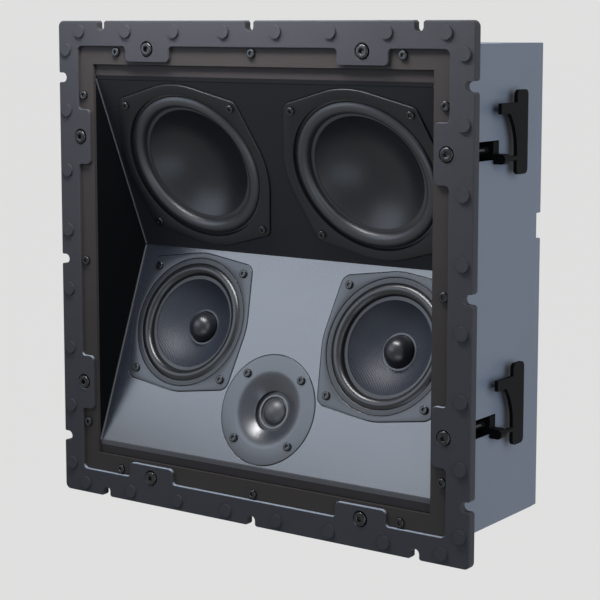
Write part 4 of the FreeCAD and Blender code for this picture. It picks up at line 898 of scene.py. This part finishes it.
def buildStage(s):
    half = s["size"] / 2
    corners = np.array([[-half, -half], [half, -half], [half, half], [-half, half]])
    mesh = bpy.data.meshes.new("floor")
    mesh.from_pydata(np.column_stack([corners, np.full(4, s["floorLevel"])]).tolist(), [], [(0, 1, 2, 3)])
    floor = bpy.data.objects.new("floor", mesh)
    bpy.context.scene.collection.objects.link(floor)
    paint, wire = newMaterial("floor")
    glow = blendColour(wire, seenDirectly(wire), (0, 0, 0, 1), shade(s["background"], s["paleLight"]))
    output(wire, principled(wire, {
        "Base Color": s["floorColour"],
        "Roughness": s["floorRough"],
        "Specular IOR Level": 0.0,
        "Emission Color": glow,
        "Emission Strength": 1.0,
    }))
    mesh.materials.append(paint)

    world = bpy.data.worlds.new("studio")
    world.use_nodes = True
    world.node_tree.nodes.clear()
    wire = Wire(world.node_tree)
    colour = blendColour(wire, seenDirectly(wire), s["ambient"], s["background"])
    light = wire.node("ShaderNodeBackground", {}, {"Color": colour})
    wire.node("ShaderNodeOutputWorld", {}, {"Surface": light})
    bpy.context.scene.world = world


lamps = dict(
    key=dict(spot=(-0.03, -0.14, 0.43), aim=(0.0, 0.0, 0.05), size=(0.34, 0.1), power=4.4,
             colour=(0.97, 0.98, 1.0)),
    softbox=dict(spot=(-0.47, -0.6, 0.33), aim=(0.0, 0.03, -0.05), size=(0.66, 0.44), power=3.1,
                 colour=(0.73, 0.84, 1.0)),
    side=dict(spot=(1.45, -0.15, 0.2), aim=(0.18, 0.06, 0.0), size=(1.8, 1.8), power=26,
              colour=(0.86, 0.94, 1.0)),
    bounce=dict(spot=(0.3, -0.65, -0.5), aim=(-0.02, 0.04, 0.06), size=(0.55, 0.55), power=2.8,
                colour=(0.68, 0.84, 1.0)),
)


def buildLamp(name, s):
    light = bpy.data.lights.new(name, "AREA")
    light.shape = "RECTANGLE"
    light.size, light.size_y = s["size"]
    light.energy = s["power"]
    light.color = s["colour"]
    lamp = bpy.data.objects.new(name, light)
    lamp.location = s["spot"]
    lamp.rotation_euler = (Vector(s["aim"]) - Vector(s["spot"])).to_track_quat("-Z", "Y").to_euler()
    lamp.visible_camera = False
    bpy.context.scene.collection.objects.link(lamp)


shot = dict(yaw=35.469, pitch=7.017, distance=1.3328, target=(0.04809, -0.007, 0.03317), lens=104.52,
            sensor=36.0, shiftY=-0.1)


def buildCamera(s):
    # stands back from the target, turned by yaw to the right and looking down by pitch
    yaw, pitch = math.radians(s["yaw"]), math.radians(s["pitch"])
    back = Vector((math.sin(yaw) * math.cos(pitch), -math.cos(yaw) * math.cos(pitch), math.sin(pitch)))
    camera = bpy.data.objects.new("camera", bpy.data.cameras.new("camera"))
    camera.data.lens = s["lens"]
    camera.data.sensor_width = s["sensor"]
    camera.data.shift_y = s["shiftY"]
    camera.location = Vector(s["target"]) + back * s["distance"]
    camera.rotation_euler = back.to_track_quat("Z", "Y").to_euler()
    bpy.context.scene.collection.objects.link(camera)
    bpy.context.scene.camera = camera


buildStage(stage)
for name, settings in lamps.items():
    buildLamp(name, settings)
buildCamera(shot)
bpy.context.scene.view_settings.view_transform = "Standard"
print("stage, lamps and camera placed")
